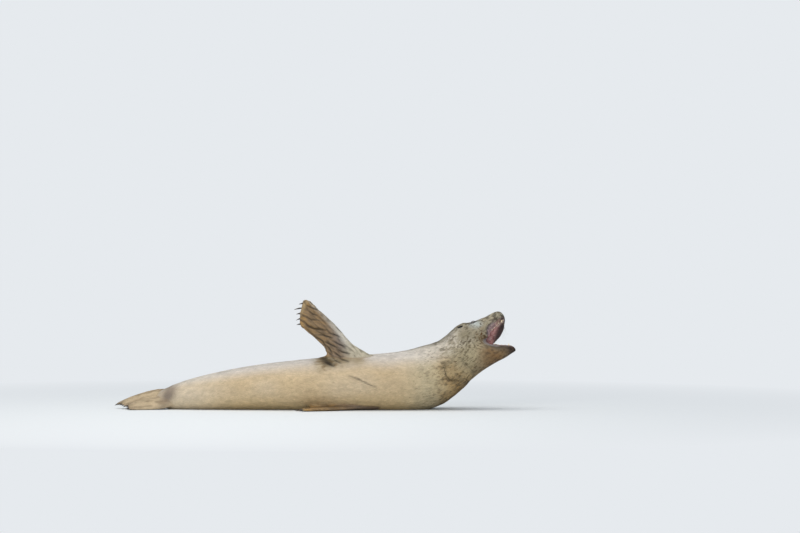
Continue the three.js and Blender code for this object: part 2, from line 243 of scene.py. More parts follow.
def distance_to(name, points):
    """How far each point is from the surface of one of the frame's nodes."""
    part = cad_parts[name].data
    part.calc_loop_triangles()
    corners = [v.co for v in part.vertices]
    tree = BVHTree.FromPolygons(corners, [tuple(t.vertices) for t in part.loop_triangles])
    return np.array([tree.find_nearest(p)[3] for p in points])


def middle(name):
    """The middle of a node's box."""
    return np.mean(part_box(name), axis=0)


def turned(yaw, pitch, lean):
    """The forward, left and back directions, as rows, of a head turned, raised and leaned left."""
    y, p, r = (math.radians(angle) for angle in (yaw, pitch, lean))
    forward = np.array([math.cos(p) * math.cos(y), math.cos(p) * math.sin(y), math.sin(p)])
    level = np.array([-math.sin(y), math.cos(y), 0])
    back = np.cross(forward, level) * math.cos(r) + level * math.sin(r)
    return np.array([forward, np.cross(back, forward), back])


# The head's own directions, and its origin between the ears, found from the eyes.
HEAD_AXES = turned(15, 34, 46)
EYES_FORWARD, EYES_RISE = 0.072, -0.004
head_at = (middle("eye_right") + middle("eye_left")) / 2
head_at = head_at - HEAD_AXES[0] * EYES_FORWARD - HEAD_AXES[2] * EYES_RISE
# The open jaw's, at its hinge.
GAPE = math.radians(46)
jaw_forward = HEAD_AXES[0] * math.cos(GAPE) - HEAD_AXES[2] * math.sin(GAPE)
JAW_AXES = np.array([jaw_forward, HEAD_AXES[1], np.cross(jaw_forward, HEAD_AXES[1])])
jaw_at = head_at + HEAD_AXES.T @ (0.006, 0, -0.028)


def in_head(points):
    return (points - head_at) @ HEAD_AXES.T


def in_jaw(points):
    return (points - jaw_at) @ JAW_AXES.T


def of_head(forward, left, back):
    return head_at + HEAD_AXES.T @ (forward, left, back)


def of_jaw(forward, left, back):
    return jaw_at + JAW_AXES.T @ (forward, left, back)


skin = copy_of(*FLESH, *LIMBS, *LINING, *EYES)
skin.name = "skin"
apply_modifier(skin, "DISPLACE", strength=JOIN, mid_level=0)
apply_modifier(skin, "REMESH", mode="VOXEL", voxel_size=VOXEL)


def weigh(piece, name, weights):
    """Writes one weight for each vertex as a vertex group."""
    group = piece.vertex_groups.new(name=name)
    for step in range(1, 21):
        chosen = np.nonzero(np.round(weights * 20).astype(int) == step)[0]
        if len(chosen):
            group.add(chosen.tolist(), step / 20, "REPLACE")


# The hide is smooth over the blubber, and least so at the flippers' edges and the lips.
points = places(skin.data)
limb = 1 - smooth_step(np.min([distance_to(name, points) for name in LIMBS], axis=0), 0.002, 0.03)
head = in_head(points)
face = smooth_step(head[:, 0], 0.05, 0.09)
weigh(skin, "smoothing", np.clip(1 - 0.85 * limb - 0.75 * face, 0.12, 1))
apply_modifier(skin, "SMOOTH", factor=0.5, iterations=14, vertex_group="smoothing")
# The cheek runs into the throat behind the jaw.
points = places(skin.data)
jaw = in_jaw(points)
throat = between(jaw[:, 0], -0.06, 0.07, 0.05) * between(jaw[:, 2], -0.26, -0.05, 0.05) * (1 - limb)
weigh(skin, "throat", throat)
apply_modifier(skin, "SMOOTH", factor=0.5, iterations=60, vertex_group="throat")

# The raised flipper's root spreads into the flank.
points = places(skin.data)
root = 1 - smooth_step(distance_to("fore_flipper_right", points), 0.012, 0.045)
root *= 1 - smooth_step(points[:, 2], 0.262, 0.305)
weigh(skin, "root", root)
apply_modifier(skin, "SMOOTH", factor=0.5, iterations=26, vertex_group="root")


def refine(piece, chosen_points):
    """Halves the faces whose corners are all chosen."""
    mesh = piece.data
    for select in (mesh.vertices, mesh.edges, mesh.polygons):
        select.foreach_set("select", np.zeros(len(select), dtype=bool))
    corners = np.empty(len(mesh.loops), dtype=np.int32)
    mesh.loops.foreach_get("vertex_index", corners)
    starts = np.empty(len(mesh.polygons), dtype=np.int32)
    mesh.polygons.foreach_get("loop_start", starts)
    chosen = np.minimum.reduceat(chosen_points[corners].astype(np.int8), starts).astype(bool)
    mesh.polygons.foreach_set("select", chosen)
    bpy.context.view_layer.objects.active = piece
    bpy.ops.object.mode_set(mode="EDIT")
    bpy.ops.mesh.select_mode(type="FACE")
    bpy.ops.mesh.subdivide(number_cuts=1, smoothness=0.6)
    bpy.ops.object.mode_set(mode="OBJECT")


# Finer faces where the skin has fine forms: the face, the raised palm, then the nose, eyes and ears.
EAR_AT = np.array([0.009, 0.065, 0.009])
openings = [(middle(name), 0.036) for name in EYES]
openings += [(of_head(*(EAR_AT * (1, side, 1))), 0.024) for side in (-1, 1)]
for least in (0.03, 0.195):
    points = places(skin.data)
    head, jaw = in_head(points), in_jaw(points)
    fine = (head[:, 0] > least) & ((jaw[:, 0] > 0.05) | (least > 0.1))
    if least < 0.1:
        fine |= distance_to("fore_flipper_right", points) < 0.004
    for centre, radius in openings:
        fine |= np.linalg.norm(points - centre, axis=1) < radius
    refine(skin, fine)

# The coat's depth, and nothing where the skin is bare.
points, outward = places(skin.data), normals(skin.data)
to_lining = np.min([distance_to(name, points) for name in LINING], axis=0)
to_flesh = np.min([distance_to(name, points) for name in ("head", "lower_jaw")], axis=0)
head, jaw = in_head(points), in_jaw(points)
gullet = between(jaw[:, 0], 0.06, 0.12, 0.005) * (np.abs(head[:, 1]) < 0.032)
gullet *= (head[:, 2] < -0.06) & (jaw[:, 2] > -0.05)
mouth = np.maximum(1 - smooth_step(to_lining, 0.003, 0.007), gullet)
rim = mouth * (1 - smooth_step(to_flesh, 0.0025, 0.0050)) * (1 - gullet)
limb = 1 - smooth_step(np.min([distance_to(name, points) for name in LIMBS], axis=0), 0.002, 0.02)
points -= outward * (COAT_DEPTH * (1 - mouth) * (1 - 0.6 * limb))[:, None]


def fold(points, path, width, where):
    """How deep each point lies in a fold along a path of x and z: 1 in it, and a little under 0
    beside it."""
    flat = points[:, [0, 2]]
    lengths = [math.dist(a, b) for a, b in zip(path, path[1:])]
    best, share, run = np.full(len(points), 1.0), np.zeros(len(points)), 0
    for a, b, long in zip(path, path[1:], lengths):
        a, b = np.array(a), np.array(b)
        t = np.clip((flat - a) @ (b - a) / long**2, 0, 1)
        away = np.linalg.norm(flat - a - t[:, None] * (b - a), axis=1)
        share = np.where(away < best, (run + t * long) / sum(lengths), share)
        best = np.minimum(away, best)
        run += long
    fade = np.sqrt(np.clip(4 * share * (1 - share), 0, 1))
    dent = np.exp(-((best / width) ** 2)) - 0.35 * np.exp(-((best / width - 2.1) ** 2))
    return fade * where * dent


# Folds of the hide: round the neck, from the armpit over the chest, at the throat and in the
# armpit. Each has its path, its width and its depth.
BODY_FOLDS = [
    (
        [(0.590, 0.215), (0.600, 0.185), (0.607, 0.158), (0.622, 0.142), (0.652, 0.134)],
        0.0062, 0.0036,
    ),
    ([(0.160, 0.163), (0.205, 0.145), (0.250, 0.123), (0.292, 0.106)], 0.0040, 0.0035),
    ([(0.686, 0.150), (0.704, 0.137), (0.722, 0.122)], 0.0050, 0.0045),
    (
        [(0.687, 0.252), (0.681, 0.229), (0.704, 0.206), (0.732, 0.178), (0.737, 0.150)],
        0.0036, 0.0018,
    ),
    ([(0.036, 0.236), (0.066, 0.219), (0.102, 0.203)], 0.0090, 0.0080),
    ([(0.074, 0.248), (0.096, 0.228), (0.130, 0.214)], 0.0042, 0.0022),
    ([(0.096, 0.250), (0.128, 0.232), (0.168, 0.222)], 0.0042, 0.0018),
]
raised = 1 - smooth_step(distance_to("fore_flipper_right", points), 0.002, 0.01)
raised_tip = raised * smooth_step(points[:, 2], 0.40, 0.46)
sea_side = smooth_step(-outward[:, 1], 0.05, 0.4)
crease = np.zeros(len(points))
press = np.zeros(len(points))
for path, width, depth in BODY_FOLDS:
    press += depth * fold(points, path, width, sea_side * (1 - raised))
    crease = np.maximum(crease, fold(points, path, 1.15 * width, sea_side * (1 - raised)))

# Folds of the raised palm: the clefts between its digits, and the wrinkles that run down to the armpit.
PALM_FOLDS = [
    (
        [(-0.050, 0.401), (-0.022, 0.379), (0.001, 0.370), (0.033, 0.367), (0.064, 0.362)],
        0.0046, 0.0056,
    ),
    ([(-0.030, 0.452), (-0.008, 0.438), (0.020, 0.430)], 0.0040, 0.0022),
    ([(-0.040, 0.428), (-0.012, 0.411), (0.012, 0.410)], 0.0036, 0.0030),
    ([(-0.042, 0.472), (-0.014, 0.462), (0.022, 0.455)], 0.0040, 0.0018),
    ([(0.020, 0.345), (0.050, 0.338), (0.088, 0.326)], 0.0040, 0.0026),
    ([(0.044, 0.312), (0.074, 0.298), (0.112, 0.280)], 0.0045, 0.0030),
    ([(0.056, 0.292), (0.074, 0.272), (0.086, 0.250)], 0.0045, 0.0032),
    ([(0.080, 0.318), (0.112, 0.300), (0.150, 0.284)], 0.0045, 0.0022),
    ([(0.096, 0.282), (0.128, 0.264), (0.168, 0.254)], 0.0045, 0.0024),
    ([(0.060, 0.352), (0.092, 0.344), (0.124, 0.332)], 0.0040, 0.0018),
    (
        [(-0.048, 0.382), (-0.020, 0.354), (0.008, 0.332), (0.038, 0.314), (0.055, 0.284)]
        + [(0.062, 0.254)],
        0.0038, 0.0018,
    ),
    ([(0.066, 0.262), (0.090, 0.238), (0.122, 0.222)], 0.0045, 0.0030),
    ([(0.084, 0.268), (0.116, 0.244), (0.152, 0.232)], 0.0045, 0.0024),
]
palm_side = raised * smooth_step(-outward[:, 1], 0.1, 0.5)
palm_crease = np.zeros(len(points))
for path, width, depth in PALM_FOLDS:
    shape = fold(points, path, width, palm_side)
    press += depth * shape
    palm_crease = np.maximum(palm_crease, shape)

LATTICE = np.random.default_rng(11).uniform(-1, 1, (32, 32, 32))


def mottle(points):
    """Soft random values from -1 to 1 that change over one unit of length."""
    cell = np.floor(points).astype(int)
    t = points - cell
    t = t * t * (3 - 2 * t)
    total = np.zeros(len(points))
    for corner in np.ndindex(2, 2, 2):
        weight = np.prod(np.where(corner, t, 1 - t), axis=1)
        total += weight * LATTICE[tuple(((cell + corner) % 32).T)]
    return total


# Fine wrinkles of the palm, long in the direction from the armpit to the claws.
lengthwise = points @ np.array([-0.72, 0, 0.69])
across = points @ np.array([0.69, 0, 0.72])
bend = 0.006 * mottle(points / 0.045)
wrinkles = mottle(
    np.stack([lengthwise / 0.034, (across + bend) / 0.0068, np.zeros(len(points))], axis=1)
)
press += palm_side * (0.0018 * np.abs(wrinkles) - 0.0006)
palm_crease = np.maximum(palm_crease, palm_side * smooth_step(np.abs(wrinkles), 0.35, 0.8) * 0.55)
points -= outward * press[:, None]

# The raised flipper's rounded tip, which the smoothing wore down.
TIP_LIFT = np.array([0.0010, 0, 0.0110])
tip_at = np.array([-0.030, points[np.argmax(points[:, 2]), 1], 0.488])
points += TIP_LIFT * (near(points, tip_at, 0.060) * raised_tip)[:, None]
# The web of hide that joins its hind edge to the flank.
WEB_AT = np.array([0.052, 0, 0.243])
WEB_PUSH = np.array([-0.0075, 0, 0.0085])
points += WEB_PUSH * near(points, WEB_AT, 0.055)[:, None]

# Lips: the near upper lip is drawn up in the roar and turned out, and the pads of the whiskers bulge.
head = in_head(points)
NEAR_LIP = HEAD_AXES[2] * 0.013 - HEAD_AXES[1] * 0.002
FAR_LIP = 0.006
PAD_BULGE = 0.0045
lip = smooth_step(-head[:, 2], 0.030, 0.085) * between(head[:, 0], 0.105, 0.185, 0.03)
lip = lip * (1 - smooth_step(jaw[:, 2], -0.02, -0.04))
lip *= jaw[:, 2] > 0.0
points += (lip * smooth_step(-head[:, 1], 0.015, 0.038))[:, None] * NEAR_LIP
points -= (lip * smooth_step(head[:, 1], 0.015, 0.038))[:, None] * HEAD_AXES[2] * FAR_LIP
# The cheeks, the sides of the skull and the brows: place on the near side, height and reach.
SWELLS = [(0.072, 0.034, 0.024, 0.0020, 0.030), (-0.005, 0.050, 0.030, 0.0045, 0.070)]
SWELLS += [(0.036, 0.052, 0.018, 0.0050, 0.055)]
for side in (-1, 1):
    pad = near(points, of_head(0.172, side * 0.040, -0.042), 0.042)
    points += outward * (PAD_BULGE * pad * (1 - mouth))[:, None]
    for forward, left, back, tall, reach in SWELLS:
        swell = near(points, of_head(forward, side * left, back), reach)
        points += outward * (tall * swell)[:, None]

# Nostrils: two slits that lean together at their lower ends.
NOSTRIL_DEPTH = 0.0080
bare = np.zeros(len(points))
dark = np.zeros(len(points))
cropped = np.zeros(len(points))
for side in (-1, 1):
    offset = in_head(points) - (0.212, side * 0.013, -0.018)
    slant = offset[:, 1] * side - 0.35 * offset[:, 2]
    slit = (
        np.exp(-((slant / 0.0030) ** 2) - (offset[:, 2] / 0.0085) ** 2)
        * (np.abs(offset[:, 0]) < 0.018)
    )
    points -= HEAD_AXES[0] * (NOSTRIL_DEPTH * slit)[:, None]
    # Each slit is painted near black, as painted shade.
    dark = np.maximum(dark, smooth_step(slit, 0.2, 0.6))
nose_pad = in_head(points) - (0.214, 0, -0.020)
nose_pad = np.linalg.norm(nose_pad / (0.014, 0.023, 0.014), axis=1)
bare = np.maximum(bare, 1 - smooth_step(nose_pad, 0.8, 1.15))

# Ear holes: a slanted oval on each side of the head, with no outer ear.
EAR_HALF = (0.0105, 0.0084)
EAR_DEPTH = 0.0160
for side in (-1, 1):
    forward, left, up = (in_head(points) - EAR_AT * (1, side, 1)).T
    oval = (
        np.hypot(forward / EAR_HALF[0], (up + 0.35 * forward) / EAR_HALF[1])
        + np.abs(left / 0.030) ** 4
    )
    points -= outward * (EAR_DEPTH * np.exp(-(oval**2)))[:, None]
    cropped = np.maximum(cropped, 1 - smooth_step(oval, 1.9, 3.6))
    # Inside each hole the hide is painted near black, as painted shade.
    dark = np.maximum(dark, 1 - smooth_step(oval, 1.10, 1.45))

# Eyelids: the skin dips to each eye and lies close over it, with an almond opening and a fold round it.
EYE_RADIUS = 0.017
LID = 0.0008
OPENING = (0.0172, 0.0118)
LID_EDGE, LID_FOLD = 0.0009, 0.0012
UNDER_EYE = 0.0045  # how far the hidden skin runs under the globe's surface


def eye_axes(side):
    """The directions out of an eye, along its opening and across it."""
    out = HEAD_AXES.T @ np.array([0.10, 0.72 * side, 0.69])
    out /= np.linalg.norm(out)
    along = HEAD_AXES[0] - out * (HEAD_AXES[0] @ out)
    along /= np.linalg.norm(along)
    return np.array([out, along, np.cross(out, along)])


for side, name in zip((-1, 1), EYES):
    axes = eye_axes(side)
    height, x, y = ((points - middle(name)) @ axes.T).T
    ring = np.hypot(x / OPENING[0], y / OPENING[1])
    open_to_air = smooth_step(height, 0.002, 0.006) * (ring < 2.5)
    reach = EYE_RADIUS + LID
    shell = np.sqrt(reach**2 - np.minimum(x**2 + y**2, (0.94 * reach) ** 2))
    fall = (1 - smooth_step(ring, 1.10, 2.35)) * open_to_air
    target = height + (shell - height) * fall
    edge = LID_EDGE * np.exp(-(((ring - 1.13) / 0.10) ** 2))
    fold_round = LID_FOLD * np.exp(-(((ring - 1.42) / 0.12) ** 2))
    target += open_to_air * (edge - fold_round)
    target = np.where((ring < 1) & (height > 0.002), shell - UNDER_EYE, target)
    points += (target - height)[:, None] * axes[0]
    bare = np.maximum(bare, open_to_air * (1 - smooth_step(ring, 1.22, 1.45)))
    dark = np.maximum(dark, open_to_air * (1 - smooth_step(ring, 1.25, 1.50)))
    cropped = np.maximum(cropped, open_to_air * (1 - smooth_step(ring, 1.7, 2.5)))

# The seal rests on the floor.
points[:, 2] = np.maximum(points[:, 2], SKIN_REST)
put(skin.data, points)
bpy.ops.object.select_all(action="DESELECT")
bpy.context.view_layer.objects.active = skin
skin.select_set(True)
bpy.ops.object.mode_set(mode="EDIT")
bpy.ops.mesh.select_all(action="SELECT")
bpy.ops.mesh.normals_make_consistent(inside=False)
bpy.ops.object.mode_set(mode="OBJECT")
bpy.ops.object.shade_smooth()
outward = normals(skin.data)

# The line that the body bends along, from the hips to the nose, and the way its back faces.
corners = [middle("tail"), middle("hips"), middle("belly"), middle("chest")]
corners += [of_head(-0.15, 0, -0.03), of_head(0, 0, -0.03), of_head(0.21, 0, -0.03)]
corners = np.array([2 * corners[0] - corners[1], *corners, 2 * corners[-1] - corners[-2]])
t = np.linspace(0, 1, 40, endpoint=False)[:, None]
spine = np.vstack([
    0.5 * (
        2 * b + (c - a) * t + (2 * a - 5 * b + 4 * c - d) * t**2 + (3 * b - a - 3 * c + d) * t**3
    )
    for a, b, c, d in zip(corners, corners[1:], corners[2:], corners[3:])
])
spine_way = np.gradient(spine, axis=0)
spine_pace = np.linalg.norm(spine_way, axis=1)
spine_way /= spine_pace[:, None]
spine_run = np.cumsum(spine_pace)
leaning = smooth_step(np.linspace(0, 1, len(spine)), 0.5, 0.72)[:, None]
spine_back = (1 - leaning) * (0, 1, 0) + leaning * HEAD_AXES[2]
spine_back -= spine_way * np.sum(spine_back * spine_way, axis=1)[:, None]
spine_back /= np.linalg.norm(spine_back, axis=1)[:, None]

# Straightened places: how far along that line each point of the skin is, and to its left and back.
closest = np.concatenate([
    np.argmin(((part[:, None] - spine) ** 2).sum(axis=2), axis=1)
    for part in np.array_split(points, 60)
])
offset = points - spine[closest]
ahead = np.sum(offset * spine_way[closest], axis=1)
leftward = np.sum(offset * np.cross(spine_back, spine_way)[closest], axis=1)
backward = np.sum(offset * spine_back[closest], axis=1)
lies = np.stack([spine_run[closest] + ahead, leftward, backward], axis=1)
flow = -spine_way[closest]


def spread(mesh, values, rounds):
    """Evens out values over a mesh by averaging each vertex with its neighbours."""
    ends = np.empty(len(mesh.edges) * 2, dtype=np.int32)
    mesh.edges.foreach_get("vertices", ends)
    a, b = ends.reshape(-1, 2).T
    count = np.maximum(np.bincount(ends, minlength=len(values)), 1)
    for _ in range(rounds):
        total = [
            np.bincount(a, column[b], len(values)) + np.bincount(b, column[a], len(values))
            for column in values.T
        ]
        values = 0.5 * values + 0.5 * np.stack(total, axis=1) / count[:, None]
    return values


lies, flow = spread(skin.data, lies, 60), spread(skin.data, flow, 40)

# A flipper's own directions: from root to claws, from its fifth claw to its first, and through it.
limb_axes = {}
for name in LIMBS:
    claws = ["claw_" + name.replace("_flipper", "") + f"_{i}" for i in (1, 5)]
    first, last = (middle(claw) for claw in claws)
    along = (first + last) / 2 - middle(name)
    along /= np.linalg.norm(along)
    across = first - last
    across -= along * (across @ along)
    across /= np.linalg.norm(across)
    limb_axes[name] = (middle(name), np.array([along, across, np.cross(along, across)]))
on_limb = np.stack(
    [1 - smooth_step(distance_to(name, points), 0.003, 0.018) for name in LIMBS], axis=1
)
for i, name in enumerate(LIMBS):
    centre, axes = limb_axes[name]
    amount = on_limb[:, i : i + 1]
    lies = lies * (1 - amount) + ((points - centre) @ axes.T) * amount
    flow = flow * (1 - amount) + axes[0] * amount
jaw, head = in_jaw(points), in_head(points)
on_jaw = (
    smooth_step(jaw[:, 0], 0.05, 0.11) * (1 - smooth_step(jaw[:, 2], -0.02, 0.02))
    * (1 - on_limb.max(axis=1))
)
flow = flow * (1 - on_jaw[:, None]) - JAW_AXES[0] * on_jaw[:, None]
flow -= outward * np.sum(flow * outward, axis=1)[:, None]
flow /= np.maximum(np.linalg.norm(flow, axis=1), 1e-6)[:, None]

# Lips and the wet rims of the mouth are bare: a narrow band in front, and a wide one at the
# turned-out corner of the upper lip.
corner = between(head[:, 0], 0.085, 0.125, 0.02) * smooth_step(-head[:, 1], 0, 0.02)
roll = 0.007 + 0.006 * corner * (jaw[:, 2] > 0.012)
bare = np.maximum(bare, 1 - smooth_step(to_lining, roll, roll + 0.003))


def rgb(code):
    return np.array(linear(code)[:3])


def beside(points, path):
    """How far each point lies from a path of x and z."""
    flat, best = points[:, [0, 2]], np.full(len(points), 1.0)
    for a, b in zip(path, path[1:]):
        a, b = np.array(a), np.array(b)
        t = np.clip((flat - a) @ (b - a) / ((b - a) @ (b - a)), 0, 1)
        best = np.minimum(best, np.linalg.norm(flat - a - t[:, None] * (b - a), axis=1))
    return best


FLIPPER_ROOT = [(0.050, 0.240), (0.110, 0.258), (0.215, 0.268)]
FRONT_EDGE = [(-0.030, 0.505), (0.022, 0.455), (0.066, 0.409), (0.107, 0.368), (0.139, 0.331)]
FRONT_EDGE += [(0.167, 0.299), (0.245, 0.262)]


def over(base, code, amount):
    """Lays a colour over a base by an amount at each point."""
    return base + (rgb(code) - base) * np.clip(amount, 0, 1)[:, None]


# The rows of whisker follicles on each side of the upper lip.
FOLLICLES = [
    (
        0.190 - 0.0105 * i - 0.002 * row,
        0.031 + 0.0018 * i - 0.0006 * row,
        -0.030 - 0.0072 * row + 0.0004 * i,
    )
    for row in range(5)
    for i in range(7 if row else 5)
]
follicles = np.array([of_head(f, side * l, b) for side in (-1, 1) for f, l, b in FOLLICLES])


def paint(at):
    """The colour of the coat or skin at each point, with painted light and shade in places, and its
    flecks, dark patches and wet.
    """
    points, lies, on_limb, mouth = at["points"], at["lies"], at["limbs"], at["mouth"]
    to_lining, rim, dark, crease = (at[key] for key in ("to_lining", "rim", "dark", "crease"))
    head, jaw = in_head(points), in_jaw(points)
    off_limb = 1 - on_limb.max(axis=1)
    x, height = points[:, 0], points[:, 2]
    girth = np.maximum(np.hypot(lies[:, 1], lies[:, 2]), 0.02)
    back_side = lies[:, 2] / girth
    low = lies[:, 1] / girth
    drift = mottle(points / 0.11)
    fine = mottle(points / 0.035 + 7)
    # Trunk: tan on the belly, grey on the back, and painted light on the lower side and the upper flank.
    tone = np.tile(rgb("#cbc1b1"), (len(points), 1))
    tone = over(tone, "#bfaa87", smooth_step(-back_side, 0.15, 0.80) * (0.85 + 0.15 * drift))
    # The lower side's own tan, painted lighter as painted light bounced up from the floor.
    tone = over(tone, "#c5af86", smooth_step(low, 0.1, 0.8) * smooth_step(-back_side, -0.2, 0.4))
    # The upper flank: its own paler colour, lightened further as painted light from above.
    tone = over(tone, "#d0cbc6", smooth_step(-low + 0.1 * drift, 0.20, 0.90) * 0.85)
    grey = smooth_step(back_side + 0.18 * drift, 0.12, 0.80)
    tone = over(tone, "#8f8b82", grey)
    tone = over(tone, "#c6bdae", smooth_step(-x, 0.30, 0.60) * 0.5 * (1 - grey))
    in_view = smooth_step(-at["outward"][:, 1], -0.4, 0.2)
    root = (1 - smooth_step(beside(points, FLIPPER_ROOT) + 0.010 * fine, 0.028, 0.080)) * in_view
    tone = over(tone, "#9c8c6e", root * between(x, 0.045, 0.20, 0.09) * 0.92)
    stain = smooth_step(mottle(points / 0.011), -0.05, 0.35)
    tone = over(tone, "#7f6848", root * stain * between(x, 0.040, 0.10, 0.06) * 0.8)
    # Painted shade in the hollow of the armpit.
    deep = np.hypot((x - 0.048) / 1.20, (height - 0.240 + 0.55 * (x - 0.048)) / 1.0)
    armpit = 1 - smooth_step(deep + 0.006 * fine, 0.010, 0.036)
    tone = over(tone, "#53452f", armpit * in_view * 0.92)
    # Neck, throat and head.
    neck = smooth_step(x, 0.36, 0.60)
    tone = over(tone, "#bdb294", neck * (1 - 0.6 * grey) * (1 - 0.7 * smooth_step(-low, 0.3, 0.9)))
    # The throat's own rusty tan, painted lighter as painted light bounced into its shade.
    throat = (1 - smooth_step(jaw[:, 2], -0.22, -0.10)) * smooth_step(x, 0.50, 0.66)
    tone = over(tone, "#b08e59", throat * (0.8 + 0.3 * fine))
    grains = mottle(points / 0.0085 + 11)
    dappled = smooth_step(x, 0.43, 0.60) * off_limb
    tone = over(tone, "#665d4a", dappled * smooth_step(grains + 0.9 * fine, 0.20, 0.55) * 0.60)
    cheek = near(points, np.array([0.70, -0.05, 0.24]), 0.16)
    tone = over(tone, "#998f73", cheek * 0.9)
    face = smooth_step(head[:, 0], -0.05, 0.05) * (1 - smooth_step(-jaw[:, 2], 0.02, 0.06))
    tone = over(tone, "#968d75", face * 0.85)
    tone = over(tone, "#8a8169", near(points, np.array([0.690, 0.0, 0.345]), 0.065) * 0.9)
    tone = over(tone, "#5c5341", face * smooth_step(grains + 0.5 * fine, 0.22, 0.55) * 0.5)
    muzzle = smooth_step(head[:, 0], 0.085, 0.15) * (jaw[:, 2] > -0.01)
    speckle = mottle(points / 0.013 + 5)
    tone = over(tone, "#aca28b", muzzle)
    light = smooth_step(mottle(points / 0.0105 + 23) + 0.4 * fine, 0.12, 0.5)
    tone = over(tone, "#c8c5b0", muzzle * light * 0.8)
    tone = over(tone, "#463e30", muzzle * smooth_step(speckle + 0.6 * grains, 0.08, 0.38) * 0.72)
    for side in (-1, 1):
        # A painted sheen behind each eye: the bluish-grey reflection on the wet fur.
        shine = near(points, of_head(0.076, side * 0.060, -0.024), 0.046)
        tone = over(tone, "#b7bdba", shine * (1.2 + 0.5 * fine))
        corner = near(points, of_head(0.072, side * 0.054, -0.086), 0.048)
        tone = over(tone, "#7c6238", corner * 0.9 * smooth_step(fine, -0.4, 0.3))
        rust = near(points, of_head(0.060, side * 0.052, -0.110), 0.050)
        spots = smooth_step(mottle(points / 0.0055), 0.02, 0.22)
        tone = over(tone, "#553818", rust * 2.4 * spots * 0.9)
    specks = smooth_step(mottle(points / 0.0066 + 31) + 0.25 * fine, 0.40, 0.58)
    tone = over(tone, "#4a3a24", specks * smooth_step(x, 0.55, 0.70) * off_limb * 0.8)
    # Lower jaw: brown, darkest at the chin.
    chin = smooth_step(jaw[:, 0], 0.060, 0.150) * off_limb
    chin = chin * (1 - smooth_step(jaw[:, 2], -0.012, 0.012))
    tone = over(tone, "#78644a", chin * (0.85 + 0.25 * fine))
    tone = over(tone, "#7f5d33", chin * smooth_step(-jaw[:, 2], 0.045, 0.09) * 0.65)
    under_lip = smooth_step(jaw[:, 2] - 0.010 * fine, -0.078, -0.050)
    under_lip = under_lip * smooth_step(jaw[:, 0], 0.08, 0.14)
    tone = over(tone, "#4c4137", chin * under_lip * 0.85)
    tone = over(tone, "#463c30", chin * smooth_step(speckle, 0.15, 0.5) * 0.6)
    chin_tip = smooth_step(jaw[:, 0] + 0.01 * fine, 0.205, 0.232) * (jaw[:, 2] < 0.0)
    tone = over(tone, "#443328", chin_tip * off_limb)
    # Flippers: brown palms, a pale front edge and a tan rim under the claws.
    for i, name in enumerate(LIMBS):
        centre, axes = limb_axes[name]
        along, across, through = ((points - centre) @ axes.T).T
        fore = "fore" in name
        here = on_limb[:, i]
        tone = over(tone, "#9a7f5b" if fore else "#bba98c", here)
        if fore:
            # On the palm, lighter patches and the ridges are painted highlights, and the grooves between
            # ridges painted shade.
            grooves = mottle(
                np.stack([along / 0.030 + 3, across / 0.0060 + 0.8 * fine, through / 0.02], axis=1)
            )
            tone = over(tone, "#9a7a4c", here * smooth_step(fine + 0.4 * drift, 0.0, 0.6) * 0.75)
            tone = over(tone, "#a58351", here * smooth_step(grooves, 0.0, 0.35) * 0.75)
            tone = over(tone, "#64543f", here * smooth_step(-grooves, 0.05, 0.40) * 0.62)
            tone = over(tone, "#7d6951", here * smooth_step(-drift - 0.3 * fine, 0.05, 0.6) * 0.55)
            tone = over(tone, "#766a60", here * smooth_step(-along, -0.03, 0.06) * 0.7)
            tone = over(tone, "#a28b66", here * smooth_step(along, 0.160, 0.167) * 0.9)
        else:
            tone = over(tone, "#94816a", here * smooth_step(along, 0.05, 0.11) * 0.8)
    front = beside(points, FRONT_EDGE)
    lower = smooth_step(x, 0.03, 0.13)
    raised_one = on_limb[:, 0]
    tone = over(tone, "#7d736c", raised_one * (1 - smooth_step(front, 0.030, 0.060)) * lower * 0.7)
    pale_edge = 1 - smooth_step(front + 0.004 * fine, 0.003, 0.016 + 0.018 * lower)
    tone = over(tone, "#c6c1b6", raised_one * pale_edge * (0.35 + 0.55 * lower))
    shoulder = np.hypot(x - 0.225, height - 0.262)
    shoulder = 1 - smooth_step(shoulder + 0.01 * fine, 0.045, 0.110)
    tone = over(tone, "#bcb49f", raised_one * shoulder * 0.9)
    # Painted shade in the crease between the hips and the hind flipper, at the ankle.
    ankle_crease_shade = np.hypot((x + 0.668 - 0.4 * (height - 0.065)) / 0.85, (height - 0.068) / 1.25)
    tone = over(tone, "#73675d", (1 - smooth_step(ankle_crease_shade + 0.012 * fine, 0.008, 0.070)) * 0.85)
    streaks = mottle(np.stack([lies[:, 0] / 0.05, lies[:, 1] / 0.009, lies[:, 2] / 0.02], axis=1))
    tone = over(tone, "#85735c", on_limb[:, 2:].max(axis=1) * smooth_step(streaks, 0.0, 0.5) * 0.55)
    # Whisker dots, painted shade in the folds, openings, lips and the inside of the mouth.
    close = np.min([np.linalg.norm(points - f, axis=1) for f in follicles], axis=0)
    tone = over(tone, "#3a322b", (1 - smooth_step(close, 0.0013, 0.0028)) * 0.85)
    # The folds of the hide and the palm's clefts and wrinkles are darkened as painted shade.
    tone = tone * (1 - 0.88 * np.clip(crease, 0, 1))[:, None]
    lip = 1 - smooth_step(to_lining, 0.007, 0.012)
    tone = over(tone, "#4a3e3b", lip * (1 - mouth) * 0.9)
